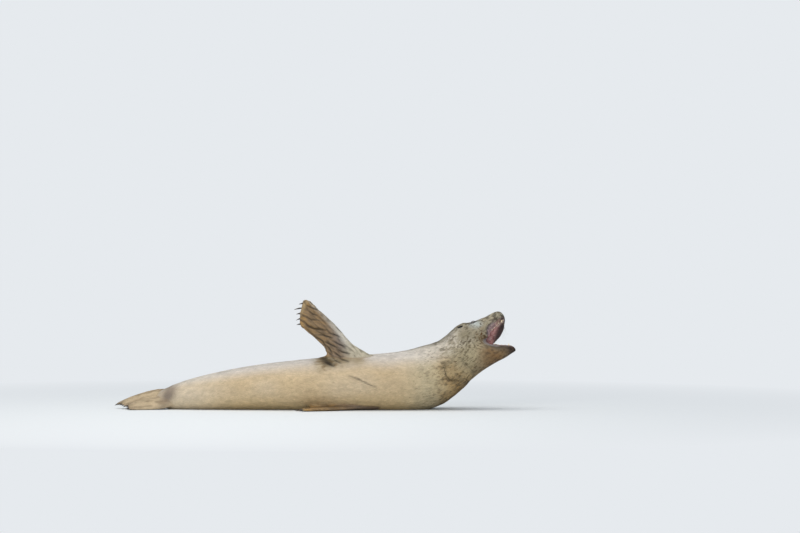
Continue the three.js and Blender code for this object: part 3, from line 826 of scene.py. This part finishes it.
    # A painted highlight: the pale bluish-grey glint along the wet lower lip.
    lower_lip_highlight = between(to_lining + 0.002 * fine, 0.004, 0.013, 0.004)
    lower_lip_highlight = lower_lip_highlight * between(jaw[:, 0], 0.080, 0.155, 0.030) * (jaw[:, 2] < -0.008)
    tone = over(tone, "#807a79", lower_lip_highlight * (1 - mouth) * 0.8)
    turned_out = between(head[:, 0], 0.078, 0.138, 0.018) * (head[:, 1] < 0) * (jaw[:, 2] > 0.008)
    turned_out *= 1 - smooth_step(to_lining, 0.013, 0.018)
    tone = over(tone, "#8a7a7a", turned_out)
    tone = over(tone, "#5e5254", turned_out * smooth_step(speckle, 0.05, 0.45) * 0.8)
    tone = over(tone, "#2a2421", near(points, of_head(0.216, 0, -0.020), 0.026) * 1.6)
    # Painted shade in the groove between the whisker pad and the turned-out lip.
    groove = between(to_lining, 0.015, 0.019, 0.004) * between(head[:, 0], 0.100, 0.172, 0.015)
    tone = over(tone, "#4a403a", groove * (head[:, 1] < 0) * (jaw[:, 2] > 0.008) * 0.7)
    roof = mouth * (jaw[:, 2] > 0.004)
    tone = over(tone, "#a0605d", mouth)
    tone = over(tone, "#cb958e", roof)
    # Pale pink painted highlights on the wet palate.
    tone = over(tone, "#e6c1b9", roof * smooth_step(mottle(points / 0.012), 0.0, 0.5) * 0.8)
    blood = mottle(points / 0.0068 + 17.3) + 0.5 * mottle(points / 0.0031)
    tone = over(tone, "#7e3236", roof * smooth_step(blood, 0.38, 0.62) * 0.8)
    gum = between(head[:, 0], 0.160, 0.190, 0.015) * smooth_step(-head[:, 1], -0.02, 0.01)
    tone = over(tone, "#ae947a", roof * gum * 0.7)
    freckled = smooth_step(head[:, 0], 0.15, 0.18) * smooth_step(speckle, 0.1, 0.4)
    tone = over(tone, "#5a3d33", roof * freckled * 0.7)
    # The far half of the roof is painted dark as painted shade.
    far_roof_shade = smooth_step(head[:, 1] + 0.25 * (head[:, 0] - 0.13), 0.010, 0.028)
    tone = over(tone, "#241917", roof * far_roof_shade * 0.95)
    inner = mouth * between(head[:, 0], 0.078, 0.138, 0.018)
    inner = inner * (head[:, 1] < -0.012) * (jaw[:, 2] > 0.008)
    tone = over(tone, "#8a7879", inner * smooth_step(to_lining, -0.001, 0.002))
    # Painted shade inside the mouth, darkest deep in the throat.
    tone = over(tone, "#6e3431", mouth * (1 - smooth_step(jaw[:, 0], 0.075, 0.115)))
    tone = over(tone, "#2a1412", mouth * (1 - smooth_step(jaw[:, 0], 0.030, 0.070)))
    tone = over(tone, "#3d322f", rim * (jaw[:, 2] < 0.004))
    tone = over(tone, "#5b4d50", rim * (jaw[:, 2] >= 0.004) * 0.5)
    # The upper rim on the far side and at the front is painted dark as painted shade.
    rim_shade = np.maximum(smooth_step(head[:, 1], -0.02, 0.0), smooth_step(head[:, 0], 0.165, 0.19))
    tone = over(tone, "#382c24", rim * (jaw[:, 2] >= 0.004) * rim_shade)
    # The nostril slits and the ear holes are painted near black as painted shade; round the eyes the dark
    # is the lids' own skin.
    tone = over(tone, "#0c0a09", dark)
    fleck = 0.20 + 0.65 * smooth_step(x, 0.34, 0.60) + 0.25 * grey
    furred = off_limb * (1 - mouth)
    fleck = fleck * (0.2 + 0.8 * off_limb) * (1 - mouth)
    dappled = near(points, np.array([0.56, -0.10, 0.20]), 0.11)
    patch = np.maximum(0.15 + 0.85 * grey, 0.6 * dappled) * furred
    wet = mouth * smooth_step(jaw[:, 0], 0.04, 0.10)
    wet = np.maximum.reduce([wet, 0.85 * lip, 0.25 * dark, 0.5 * muzzle, 0.45 * chin])
    for side in (-1, 1):
        wet = np.maximum(wet, 0.9 * near(points, of_head(0.074, side * 0.062, -0.026), 0.045))
    wet = np.maximum(wet, 0.45 * on_limb[:, 0])
    return tone, np.stack([fleck, patch, wet], axis=1)


def keep(mesh, name, kind, values):
    """Stores one value for each vertex as an attribute."""
    made = mesh.attributes.new(name, kind, "POINT")
    if kind == "FLOAT_COLOR":
        values = np.hstack([values, np.ones((len(values), 1))])
        made.data.foreach_set("color", values.astype(np.float32).ravel())
    elif kind == "FLOAT_VECTOR":
        made.data.foreach_set("vector", values.astype(np.float32).ravel())
    else:
        made.data.foreach_set("value", values.astype(np.float32).ravel())


DARK_HAIR = (0.36, 0.32, 0.28)  # a dark hair's share of the colour around it
FIELDS = {
    "points": points, "outward": outward, "flow": flow, "lies": lies, "limbs": on_limb,
    "to_lining": to_lining, "mouth": mouth, "rim": rim, "dark": dark, "cropped": cropped,
    "crease": np.maximum(crease, palm_crease),
    "hairless": np.maximum.reduce([bare, mouth, smooth_step(dark, 0.2, 0.5)]),
}
tone, finish = paint(FIELDS)
keep(skin.data, "tone", "FLOAT_COLOR", tone)
keep(skin.data, "finish", "FLOAT_COLOR", finish)
keep(skin.data, "lies", "FLOAT_VECTOR", lies)


def coat_shader(name, hair):
    """Short flat fur over hide: each hair dull and a little sheeny, with dark flecks and patches,
    and wet in places. Without hair it is the bare hide, with pores."""
    made, tree, shader = material(name)
    tone = node(tree, "Attribute", attribute_name="tone").outputs["Color"]
    finish = node(tree, "Attribute", attribute_name="finish").outputs["Color"]
    finish = node(tree, "SeparateColor", {"Color": finish})
    lies = node(tree, "Attribute", attribute_name="lies").outputs["Vector"]

    def grain(scale, detail=2.0, shift=0.0):
        """Noise along the way the coat lies, with a fineness of its own in each direction."""
        where = node(tree, "VectorMath", {0: lies, 1: scale}, operation="MULTIPLY").outputs[0]
        where = {0: where, 1: (shift, shift, shift)}
        where = node(tree, "VectorMath", where, operation="ADD").outputs[0]
        inputs = {"Vector": where, "Scale": 1.0, "Detail": detail}
        return node(tree, "TexNoise", inputs).outputs["Fac"]

    def spots(noise, amount, least, most, soft):
        """A mask of the noise over a threshold that falls as the amount grows."""
        edge = {"Value": amount, "To Min": most, "To Max": least}
        edge = node(tree, "MapRange", edge).outputs["Result"]
        over_edge = node(tree, "Math", {0: noise, 1: edge}, operation="SUBTRACT").outputs[0]
        over_edge = {"Value": over_edge, "From Max": soft}
        return node(tree, "MapRange", over_edge).outputs["Result"]

    # Flecks are about 8 mm apart, patches 50 mm and clouds of tone 20 mm. Streaks of hair are 1.6 mm
    # wide and pores 2.4 mm apart, coarser than the real ones so that they show.
    fleck = spots(grain((108, 122, 122), 2.0), finish.outputs[0], 0.505, 0.74, 0.09)
    patch = spots(grain((17, 21, 21), 3.0, 5.0), finish.outputs[1], 0.50, 0.80, 0.07)
    cloud = grain((40, 55, 55), 3.0, 9.0)
    streak = grain((70, 620, 620), 2.0, 3.0)
    shade = {"Value": cloud, "From Min": 0.3, "From Max": 0.7, "To Min": 0.88, "To Max": 1.10}
    lines = {"Value": streak, "From Min": 0.3, "From Max": 0.7, "To Min": 0.86, "To Max": 1.12}
    value = {0: node(tree, "MapRange", shade).outputs[0], 1: node(tree, "MapRange", lines).outputs[0]}
    value = node(tree, "Math", value, operation="MULTIPLY").outputs[0]
    colour = {0: tone, "Scale": value}
    colour = node(tree, "VectorMath", colour, operation="SCALE").outputs[0]
    for mask, strength in ((fleck, 0.62), (patch, 0.50)):
        amount = node(tree, "Math", {0: mask, 1: strength}, operation="MULTIPLY").outputs[0]
        darker = {0: colour, 1: DARK_HAIR}
        darker = node(tree, "VectorMath", darker, operation="MULTIPLY").outputs[0]
        mixed = {"Fac": amount, "Color1": colour, "Color2": darker}
        colour = node(tree, "MixRGB", mixed).outputs[0]
    if hair:
        tip = node(tree, "Attribute", attribute_name="along").outputs["Fac"]
        tip = node(tree, "MapRange", {"Value": tip, "To Min": 0.94, "To Max": 1.14}).outputs[0]
        colour = {0: colour, "Scale": tip}
        colour = node(tree, "VectorMath", colour, operation="SCALE").outputs[0]
    dull = {"Value": finish.outputs[2], "To Min": 0.78, "To Max": 0.28}
    dull = node(tree, "MapRange", dull).outputs["Result"]
    feed(tree, shader, {"Base Color": colour, "Roughness": dull, "Specular IOR Level": 0.35})
    if not hair:
        pores = {0: streak, 1: grain((420, 420, 420), 2.0)}
        pores = node(tree, "Math", pores, operation="ADD").outputs[0]
        bump = node(tree, "Bump", {"Strength": 0.5, "Distance": 0.0006, "Height": pores})
        feed(tree, shader, {"Normal": bump.outputs[0]})
    return made


skin.data.materials.append(coat_shader("seal_hide", False))
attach(skin, "root")
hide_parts(*FLESH, *LIMBS, *LINING)

# ---- Eyes ----
# Large dark globes, brown round a wide pupil under a wet bulging cornea. They sit deep behind the
# lids, and the skin runs on behind them.
GLOBE_INSET = 0.0002  # keeps the globe off the lids
CORNEA_BULGE = 0.0009
IRIS = [(0.0, "#0c0908"), (0.30, "#0d0a09"), (0.36, "#2c1d14"), (0.62, "#1f1510")]
IRIS += [(0.80, "#0f0c0b")]
iris, tree, shader = material("wet_eye")
# A wet clear coat gives sharp glints over the dull iris, whose fibres are about 1.1 mm apart.
fibres = {"Vector": node(tree, "TexCoord").outputs["Object"], "Scale": 900.0, "Detail": 2.0}
fibres = {0: node(tree, "TexNoise", fibres).outputs["Fac"], 1: 0.10}
fibres = node(tree, "Math", fibres, operation="MULTIPLY").outputs[0]
place = node(tree, "Attribute", attribute_name="sight").outputs["Fac"]
place = node(tree, "Math", {0: place, 1: fibres}, operation="ADD").outputs[0]
shade = node(tree, "ValToRGB", {"Fac": place}, stops=IRIS).outputs["Color"]
feed(tree, shader, {"Base Color": shade, "Roughness": 0.12})
feed(tree, shader, {"Coat Weight": 1.0, "Coat Roughness": 0.02})
for side, name in zip((-1, 1), EYES):
    bpy.ops.object.select_all(action="DESELECT")
    bpy.ops.mesh.primitive_uv_sphere_add(
        segments=48, ring_count=32, radius=EYE_RADIUS - GLOBE_INSET, location=middle(name)
    )
    eye = bpy.context.object
    eye.name = "globe_" + name.split("_")[1]
    bpy.ops.object.transform_apply(location=True, rotation=True, scale=True)
    globe = places(eye.data)
    axes = eye_axes(side)
    facing = (globe - middle(name)) @ axes[0] / EYE_RADIUS
    sight = np.degrees(np.arccos(np.clip(facing, -1, 1)))
    globe += axes[0] * (CORNEA_BULGE * (1 - smooth_step(sight, 10, 48)))[:, None]
    put(eye.data, globe)
    keep(eye.data, "sight", "FLOAT", sight / 90)
    bpy.ops.object.shade_smooth()
    eye.data.materials.append(iris)
    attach(eye, "root")
    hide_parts(name)

# ---- Teeth ----
# Simple cones of enamel, curved back: small incisors, a long canine on each side, and cheek teeth
# with a single point. They stand in the gums of both jaws.
ENAMEL = [(0.0, "#8d6f4a"), (0.35, "#c7ad82"), (0.75, "#ded0b2"), (1.0, "#e8dfc9")]
enamel, tree, shader = material("tooth_enamel")
# Hard and glossy, ivory at the point and stained brown at the gum in blots of about 4 mm.
stain = {"Vector": node(tree, "TexCoord").outputs["Object"], "Scale": 260.0, "Detail": 3.0}
stain = {0: node(tree, "TexNoise", stain).outputs["Fac"], 1: 0.30}
stain = node(tree, "Math", stain, operation="MULTIPLY").outputs[0]
height = node(tree, "Attribute", attribute_name="height").outputs["Fac"]
stain = node(tree, "Math", {0: height, 1: stain}, operation="ADD").outputs[0]
shade = node(tree, "ValToRGB", {"Fac": stain}, stops=ENAMEL).outputs["Color"]
feed(tree, shader, {"Base Color": shade, "Roughness": 0.28})
# Kind: length, radius at the gum.
TOOTH = {"incisor": (0.0065, 0.0017), "canine": (0.0145, 0.0036), "cheek": (0.0068, 0.0027)}
# Kind, and millimetres forward, to the side and back.
UPPER = [("incisor", 194, 5, -51), ("incisor", 191, 13, -52), ("canine", 182, 25, -53)]
UPPER += [("cheek", 164, 31, -58), ("cheek", 149, 33, -63), ("cheek", 134, 35, -68)]
UPPER += [("cheek", 119, 35, -73)]
LOWER = [("incisor", 222, 4, -28), ("incisor", 219, 10, -27), ("canine", 208, 17, -24)]
LOWER += [("cheek", 192, 23, -23), ("cheek", 177, 27, -22), ("cheek", 162, 31, -21)]
LOWER += [("cheek", 147, 34, -20)]
IN_GUM = 0.0045  # how deep a tooth's root stands in the gum
GUM_STEP, GUM_STEPS = 0.0012, 5
surface = BVHTree.FromPolygons(
    [v.co for v in skin.data.vertices], [tuple(p.vertices) for p in skin.data.polygons]
)


def on_gum(start, way, outwards):
    """The highest place of the gum along a short search from the middle of the mouth to the lip."""
    best = None
    for step in range(-GUM_STEPS, GUM_STEPS + 1):
        over_gum = start + outwards * step * GUM_STEP + way * 0.016
        spot, _, _, _ = surface.ray_cast(Vector(over_gum), Vector(-way), 0.05)
        if spot is not None:
            tall = np.array(spot) @ way - abs(step) * 0.0002
            if best is None or tall > best[0]:
                best = (tall, np.array(spot))
    return start if best is None else best[1]


def tube(bm, rings):
    """Joins rings of vertices, the last of which may be a single one, into a closed tube."""
    for low, high in zip(rings, rings[1:]):
        for k in range(len(low)):
            beyond = (k + 1) % len(low)
            if len(high) == 1:
                bm.faces.new((low[k], low[beyond], high[0]))
            else:
                bm.faces.new((low[k], low[beyond], high[beyond], high[k]))
    bm.faces.new(rings[0][::-1])
    if len(rings[-1]) > 1:
        bm.faces.new(rings[-1])


def piece_of(bm, name, look):
    """Makes a smooth piece with one material from a built mesh."""
    bmesh.ops.recalc_face_normals(bm, faces=bm.faces)
    mesh = bpy.data.meshes.new(name)
    bm.to_mesh(mesh)
    bm.free()
    piece = bpy.data.objects.new(name, mesh)
    bpy.context.collection.objects.link(piece)
    mesh.shade_smooth()
    mesh.materials.append(look)
    return piece


def tooth_row(name, teeth, put_at, axes, up):
    """Both sides' teeth of one jaw as one piece."""
    bm = bmesh.new()
    tall = bm.verts.layers.float.new("height")
    for side in (-1, 1):
        for kind, forward, left, back in teeth:
            long, wide = TOOTH[kind]
            root = put_at(forward / 1000, side * left / 1000, back / 1000)
            root = on_gum(root, axes[2] * up, axes[1] * side) - axes[2] * up * IN_GUM
            rings = []
            for i in range(7):
                t = i / 6
                size = wide * (1 - t) ** 0.62 * (1 + 0.12 * math.sin(math.pi * min(1, 2 * t)))
                centre = root + axes[2] * up * (long + 0.004) * t - axes[0] * long * 0.30 * t * t
                ring = []
                for k in range(10 if i < 6 else 1):
                    angle = 2 * math.pi * k / 10
                    off = axes[0] * math.cos(angle) * 1.1 + axes[1] * math.sin(angle) * 0.85
                    vertex = bm.verts.new(centre + off * size)
                    vertex[tall] = t
                    ring.append(vertex)
                rings.append(ring)
            tube(bm, rings)
    piece = piece_of(bm, name, enamel)
    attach(piece, "root")


tooth_row("upper_teeth", UPPER, of_head, HEAD_AXES, -1)
tooth_row("lower_teeth", LOWER, of_jaw, JAW_AXES, 1)

# ---- Tongue ----
# Wet muscle under a velvety lining, with a shallow furrow down the middle. It lies on the
# mouth's floor.
FURROW_DEPTH, FURROW_HALF = 0.0022, 0.0035
flesh, tree, shader = material("wet_tongue")
# Pink and wet, with buds about 1.4 mm apart that break up the shine.
place = node(tree, "TexCoord").outputs["Object"]
bumps = node(tree, "TexVoronoi", {"Vector": place, "Scale": 700.0}).outputs["Distance"]
bump = node(tree, "Bump", {"Strength": 0.5, "Distance": 0.0006, "Height": bumps}).outputs[0]
cloud = {"Vector": place, "Scale": 60.0, "Detail": 3.0}
cloud = node(tree, "TexNoise", cloud).outputs["Fac"]
shade = node(tree, "ValToRGB", {"Fac": cloud}, stops=[(0.3, "#8c5654"), (0.7, "#b07a74")])
feed(tree, shader, {"Base Color": shade.outputs["Color"], "Roughness": 0.30, "Normal": bump})
tongue = copy_of("tongue")
tongue.name = "soft_tongue"
apply_modifier(tongue, "REMESH", mode="VOXEL", voxel_size=0.002)
apply_modifier(tongue, "SMOOTH", factor=0.5, iterations=12)
muscle = places(tongue.data)
across = in_jaw(muscle)[:, 1]
muscle -= JAW_AXES[2] * (FURROW_DEPTH * np.exp(-((across / FURROW_HALF) ** 2)))[:, None]
put(tongue.data, muscle)
tongue.data.shade_smooth()
tongue.data.materials.append(flesh)
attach(tongue, "root")
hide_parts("tongue")

# ---- Claws ----
# Dark curved horn, ribbed lengthwise and worn paler at the tips, one from each digit. Those of the
# raised flipper hook the most.
CLAW_FILL = 0.35  # how much a claw's root is widened
IN_FLIPPER = 0.0045  # how far its root is set in
HOOK, LONG_HOOK = 0.0035, 0.0085
LONG_CLAW = 2  # the digit with the longest claw
CLAW_REST = 0.0004  # a claw's least height over the floor
HORN = [(0.1, "#1d1917"), (0.7, "#2e2622"), (1.15, "#564a3f")]
horn, tree, shader = material("claw_horn")
# Dark and half glossy, with fine ribs along the claw, about 0.7 mm apart.
ribs = {"Vector": node(tree, "Attribute", attribute_name="ribs").outputs["Vector"]}
ribs = node(tree, "TexNoise", {**ribs, "Scale": 1.0, "Detail": 2.0}).outputs["Fac"]
mixed = node(tree, "Math", {0: ribs, 1: 0.35}, operation="MULTIPLY").outputs[0]
along = node(tree, "Attribute", attribute_name="along").outputs["Fac"]
mixed = node(tree, "Math", {0: along, 1: mixed}, operation="ADD").outputs[0]
bump = node(tree, "Bump", {"Strength": 0.4, "Distance": 0.0003, "Height": ribs}).outputs[0]
shade = node(tree, "ValToRGB", {"Fac": mixed}, stops=HORN).outputs["Color"]
feed(tree, shader, {"Base Color": shade, "Roughness": 0.35, "Normal": bump})
for limb_name in LIMBS:
    centre, axes = limb_axes[limb_name]
    stem = limb_name.replace("_flipper", "")
    for digit in range(1, 6):
        claw = copy_of(f"claw_{stem}_{digit}")
        claw.name = f"horn_{stem}_{digit}"
        apply_modifier(claw, "SUBSURF", levels=2, render_levels=2)
        hook = places(claw.data)
        reach = (hook - centre) @ axes[0]
        share = (reach - reach.min()) / (reach.max() - reach.min())
        core = hook.mean(axis=0)
        off_axis = (hook - core) - axes[0] * ((hook - core) @ axes[0])[:, None]
        # Subdivision slims a claw, so it is filled out again, and its root is set into the flipper.
        hook = hook + off_axis * (CLAW_FILL * (1 - share))[:, None]
        hook = hook - axes[0] * (IN_FLIPPER * (1 - share))[:, None]
        # The raised flipper's claws hook down at their tips, the long one most.
        if limb_name == LIMBS[0]:
            hook[:, 2] -= (LONG_HOOK if digit == LONG_CLAW else HOOK) * share**2
        hook[:, 2] = np.maximum(hook[:, 2], CLAW_REST)
        put(claw.data, hook)
        keep(claw.data, "along", "FLOAT", share)
        keep(claw.data, "ribs", "FLOAT_VECTOR", ((hook - centre) @ axes.T) * (120, 1400, 1400))
        claw.data.shade_smooth()
        claw.data.materials.append(horn)
        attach(claw, "root")
        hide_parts(f"claw_{stem}_{digit}")

# ---- Whiskers ----
# Stiff pale beaded hairs, long on the upper lip and short over the eyes, each grown from a dark follicle.
HAIR_RADIUS = 0.00045
BROW_LENGTH = 0.026
# Forward, to the side and back.
BROWS = [(0.083, 0.032, 0.026), (0.078, 0.030, 0.029), (0.073, 0.031, 0.029)]
HAIR = [(0.0, "#6f6555"), (0.25, "#b9ae98"), (1.0, "#e0d9c8")]
whisker, tree, shader = material("whisker_hair")
# Stiff and half glossy, darker at the root.
along = node(tree, "Attribute", attribute_name="along").outputs["Fac"]
shade = node(tree, "ValToRGB", {"Fac": along}, stops=HAIR).outputs["Color"]
feed(tree, shader, {"Base Color": shade, "Roughness": 0.4})
draw = np.random.default_rng(5)
bm = bmesh.new()
share = bm.verts.layers.float.new("along")
for side in (-1, 1):
    for i, (f, l, b) in enumerate(FOLLICLES + BROWS):
        spot, way, _, _ = surface.find_nearest(Vector(of_head(f, side * l, b)))
        spot, way = np.array(spot), np.array(way)
        long = BROW_LENGTH
        if i < len(FOLLICLES):
            long = (0.030 + 0.050 * (0.200 - f) / 0.07) * draw.uniform(0.8, 1.15)
        aim = way * 0.55 - HEAD_AXES[0] * 0.75 + HEAD_AXES[1] * side * 0.35 - HEAD_AXES[2] * 0.30
        aim = aim / np.linalg.norm(aim) + draw.normal(0, 0.10, 3)
        droop = -HEAD_AXES[2] * 0.22 + draw.normal(0, 0.05, 3)
        right = np.cross(aim, (0.3, 0.5, 0.8))
        right /= np.linalg.norm(right)
        over_it = np.cross(aim, right) / np.linalg.norm(aim)
        rings = []
        for k in range(8):
            t = k / 7
            centre = spot - way * 0.001 + aim * long * t + droop * long * t * t
            size = HAIR_RADIUS * (1 - 0.88 * t) * (1 + 0.10 * math.sin(40 * t))
            ring = []
            for turn in range(4):
                angle = math.pi * turn / 2
                off = right * math.cos(angle) + over_it * math.sin(angle)
                vertex = bm.verts.new(centre + off * size)
                vertex[share] = t
                ring.append(vertex)
            rings.append(ring)
        tube(bm, rings)
whiskers = piece_of(bm, "whiskers", whisker)
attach(whiskers, "root")

# ---- Coat ----
# Stiff flat guard hairs all over the hide, in small overlapping tufts that lie from the nose to
# the tail and from the flippers' roots to their claws, shortest on the face and the flippers.
fur = coat_shader("seal_fur", True)
skin.data.calc_loop_triangles()
triangles = np.empty(len(skin.data.loop_triangles) * 3, dtype=np.int32)
skin.data.loop_triangles.foreach_get("vertices", triangles)
triangles = triangles.reshape(-1, 3)
head, jaw = in_head(points), in_jaw(points)
upon_limb = on_limb.max(axis=1)
nose_wards = smooth_step(head[:, 0], -0.12, 0.15)
FIELDS["length"] = (0.0125 - 0.0075 * nose_wards) * (1 - upon_limb) + 0.0055 * upon_limb
FIELDS["length"] *= 1 - 0.60 * np.clip(np.maximum(FIELDS["crease"], cropped), 0, 1)
PATCH = 0.003  # the width and length of a tuft's patch in the UV map
ROOTS_IN = 0.0004
FUR_REST = 0.0003  # a hair's least height over the floor


def unit(vectors):
    return vectors / np.maximum(np.linalg.norm(vectors, axis=1), 1e-9)[:, None]


def grow(name, here, count, seed):
    """Grows one piece of coat where the skin's vertices are chosen."""
    draw = np.random.default_rng(seed)
    corners = points[triangles]
    sides = np.cross(corners[:, 1] - corners[:, 0], corners[:, 2] - corners[:, 0])
    area = 0.5 * np.linalg.norm(sides, axis=1)
    thick = (here * (1 - FIELDS["hairless"]) / FIELDS["length"] ** 1.4)[triangles].mean(axis=1)
    odds = np.cumsum(area * thick)
    pick = triangles[np.searchsorted(odds, draw.random(count) * odds[-1])]
    a, b = draw.random((2, count))
    flip = a + b > 1
    a, b = np.where(flip, 1 - a, a), np.where(flip, 1 - b, b)
    shares = np.stack([1 - a - b, a, b])
    at = {key: np.einsum("kn,nk...->n...", shares, values[pick]) for key, values in FIELDS.items()}
    rooted = at["hairless"] < 0.4
    at = {key: values[rooted] for key, values in at.items()}
    count = len(at["length"])
    root, out, way = at["points"], unit(at["outward"]), unit(at["flow"])
    tone, finish = paint(at)
    tone = tone * draw.normal(1.0, 0.05, (count, 1))
    side = np.cross(out, way)
    roll, skew = draw.normal(0, (0.17, 0.11), (count, 2)).T[:, :, None]
    side_up = side * np.cos(roll) + out * np.sin(roll)
    way = way + side * skew
    long = at["length"][:, None] * draw.uniform(0.75, 1.25, (count, 1))
    wide = (0.0003 + 0.045 * at["length"][:, None]) * draw.uniform(0.8, 1.2, (count, 1))
    rise = 0.0002 + long * draw.uniform(0.03, 0.065, (count, 1))
    base = root - out * ROOTS_IN
    knee = root + way * long * 0.5 + out * rise
    tip = root + way * long + out * rise * draw.uniform(0.6, 1.5, (count, 1))
    tip = tip + side * skew * long * 0.3
    foot, bend = side_up * wide, side_up * wide * 0.8
    blades = np.stack([base - foot, base + foot, knee - bend, knee + bend, tip], axis=1)
    blades[:, :, 2] = np.maximum(blades[:, :, 2], FUR_REST)
    made = bpy.data.meshes.new(name)
    start = np.arange(count)[:, None] * 5
    faces = np.hstack([start + (0, 1, 3, 2), start + (2, 3, 4)])
    made.vertices.add(count * 5)
    made.vertices.foreach_set("co", blades.astype(np.float32).ravel())
    made.loops.add(count * 7)
    made.loops.foreach_set("vertex_index", faces.astype(np.int32).ravel())
    made.polygons.add(count * 2)
    starts = np.arange(count)[:, None] * 7 + (0, 4)
    made.polygons.foreach_set("loop_start", starts.astype(np.int32).ravel())
    made.polygons.foreach_set("loop_total", np.tile([4, 3], count).astype(np.int32))
    made.update(calc_edges=True)
    # Each tuft's patch lies at its root's place on the skin, unrolled round the body or laid flat.
    lie, limbs = at["lies"], at["limbs"]
    flat = limbs.max(axis=1) > 0.5
    limb_number = np.argmax(limbs, axis=1)
    through = np.stack([limb_axes[limb_name][1][2] for limb_name in LIMBS])[limb_number]
    palm_up = np.sum(out * through, axis=1) > 0
    u = lie[:, 0].copy()
    v = np.where(flat, lie[:, 1], np.arctan2(lie[:, 1], -lie[:, 2]))
    for group in (flat, ~flat):
        if group.any():
            u[group] = (u[group] - u[group].min()) / np.ptp(u[group])
            v[group] = (v[group] - v[group].min()) / np.ptp(v[group])
    if flat.any():
        v = (palm_up + 2 * (limb_number % 2) + v * 0.96) / 4
    lower, upper = [(-0.5, 0), (0.5, 0), (0.4, 0.5), (-0.4, 0.5)], [(-0.4, 0.5), (0.4, 0.5), (0, 1)]
    corner = np.array(lower + upper) * PATCH
    patches = np.stack([u, v], axis=1)[:, None] * (1 - 2 * PATCH) + PATCH + corner
    uv = made.uv_layers.new(name="OFBake")
    uv.data.foreach_set("uv", patches.astype(np.float32).ravel())
    keep(made, "tone", "FLOAT_COLOR", np.repeat(np.clip(tone, 0, 1), 5, axis=0))
    keep(made, "finish", "FLOAT_COLOR", np.repeat(finish, 5, axis=0))
    lie = lie + draw.normal(0, 0.0008, (count, 3))
    keep(made, "lies", "FLOAT_VECTOR", np.repeat(lie, 5, axis=0))
    keep(made, "along", "FLOAT", np.tile([0, 0, 0.5, 0.5, 1.0], count))
    made.materials.append(fur)
    piece = bpy.data.objects.new(name, made)
    bpy.context.collection.objects.link(piece)
    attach(piece, "root")


x = points[:, 0]
on_body = upon_limb < 0.5
at_head = on_body & ((head[:, 0] > -0.05) & (jaw[:, 2] > -0.10) | (jaw[:, 0] > 0.075))
behind = on_body & ~at_head
CUTS = (-0.44, -0.03, 0.41)
# Name: where the piece grows, and how many tufts it has.
COAT = {
    "coat_hips": (behind & (x < CUTS[0]), 58000),
    "coat_belly": (behind & (x >= CUTS[0]) & (x < CUTS[1]), 65000),
    "coat_chest": (behind & (x >= CUTS[1]) & (x < CUTS[2]), 65000),
    "coat_neck": (behind & (x >= CUTS[2]), 62000),
    "coat_head": (at_head, 65000),
    "coat_fore_flipper_right": (on_limb[:, 0] >= 0.5, 48000),
    "coat_fore_flipper_left": (on_limb[:, 1] >= 0.5, 22000),
    "coat_hind_flippers": (on_limb[:, 2:].max(axis=1) >= 0.5, 36000),
}
for seed, (name, (here, count)) in enumerate(COAT.items(), 21):
    grow(name, here * 1.0, count, seed)
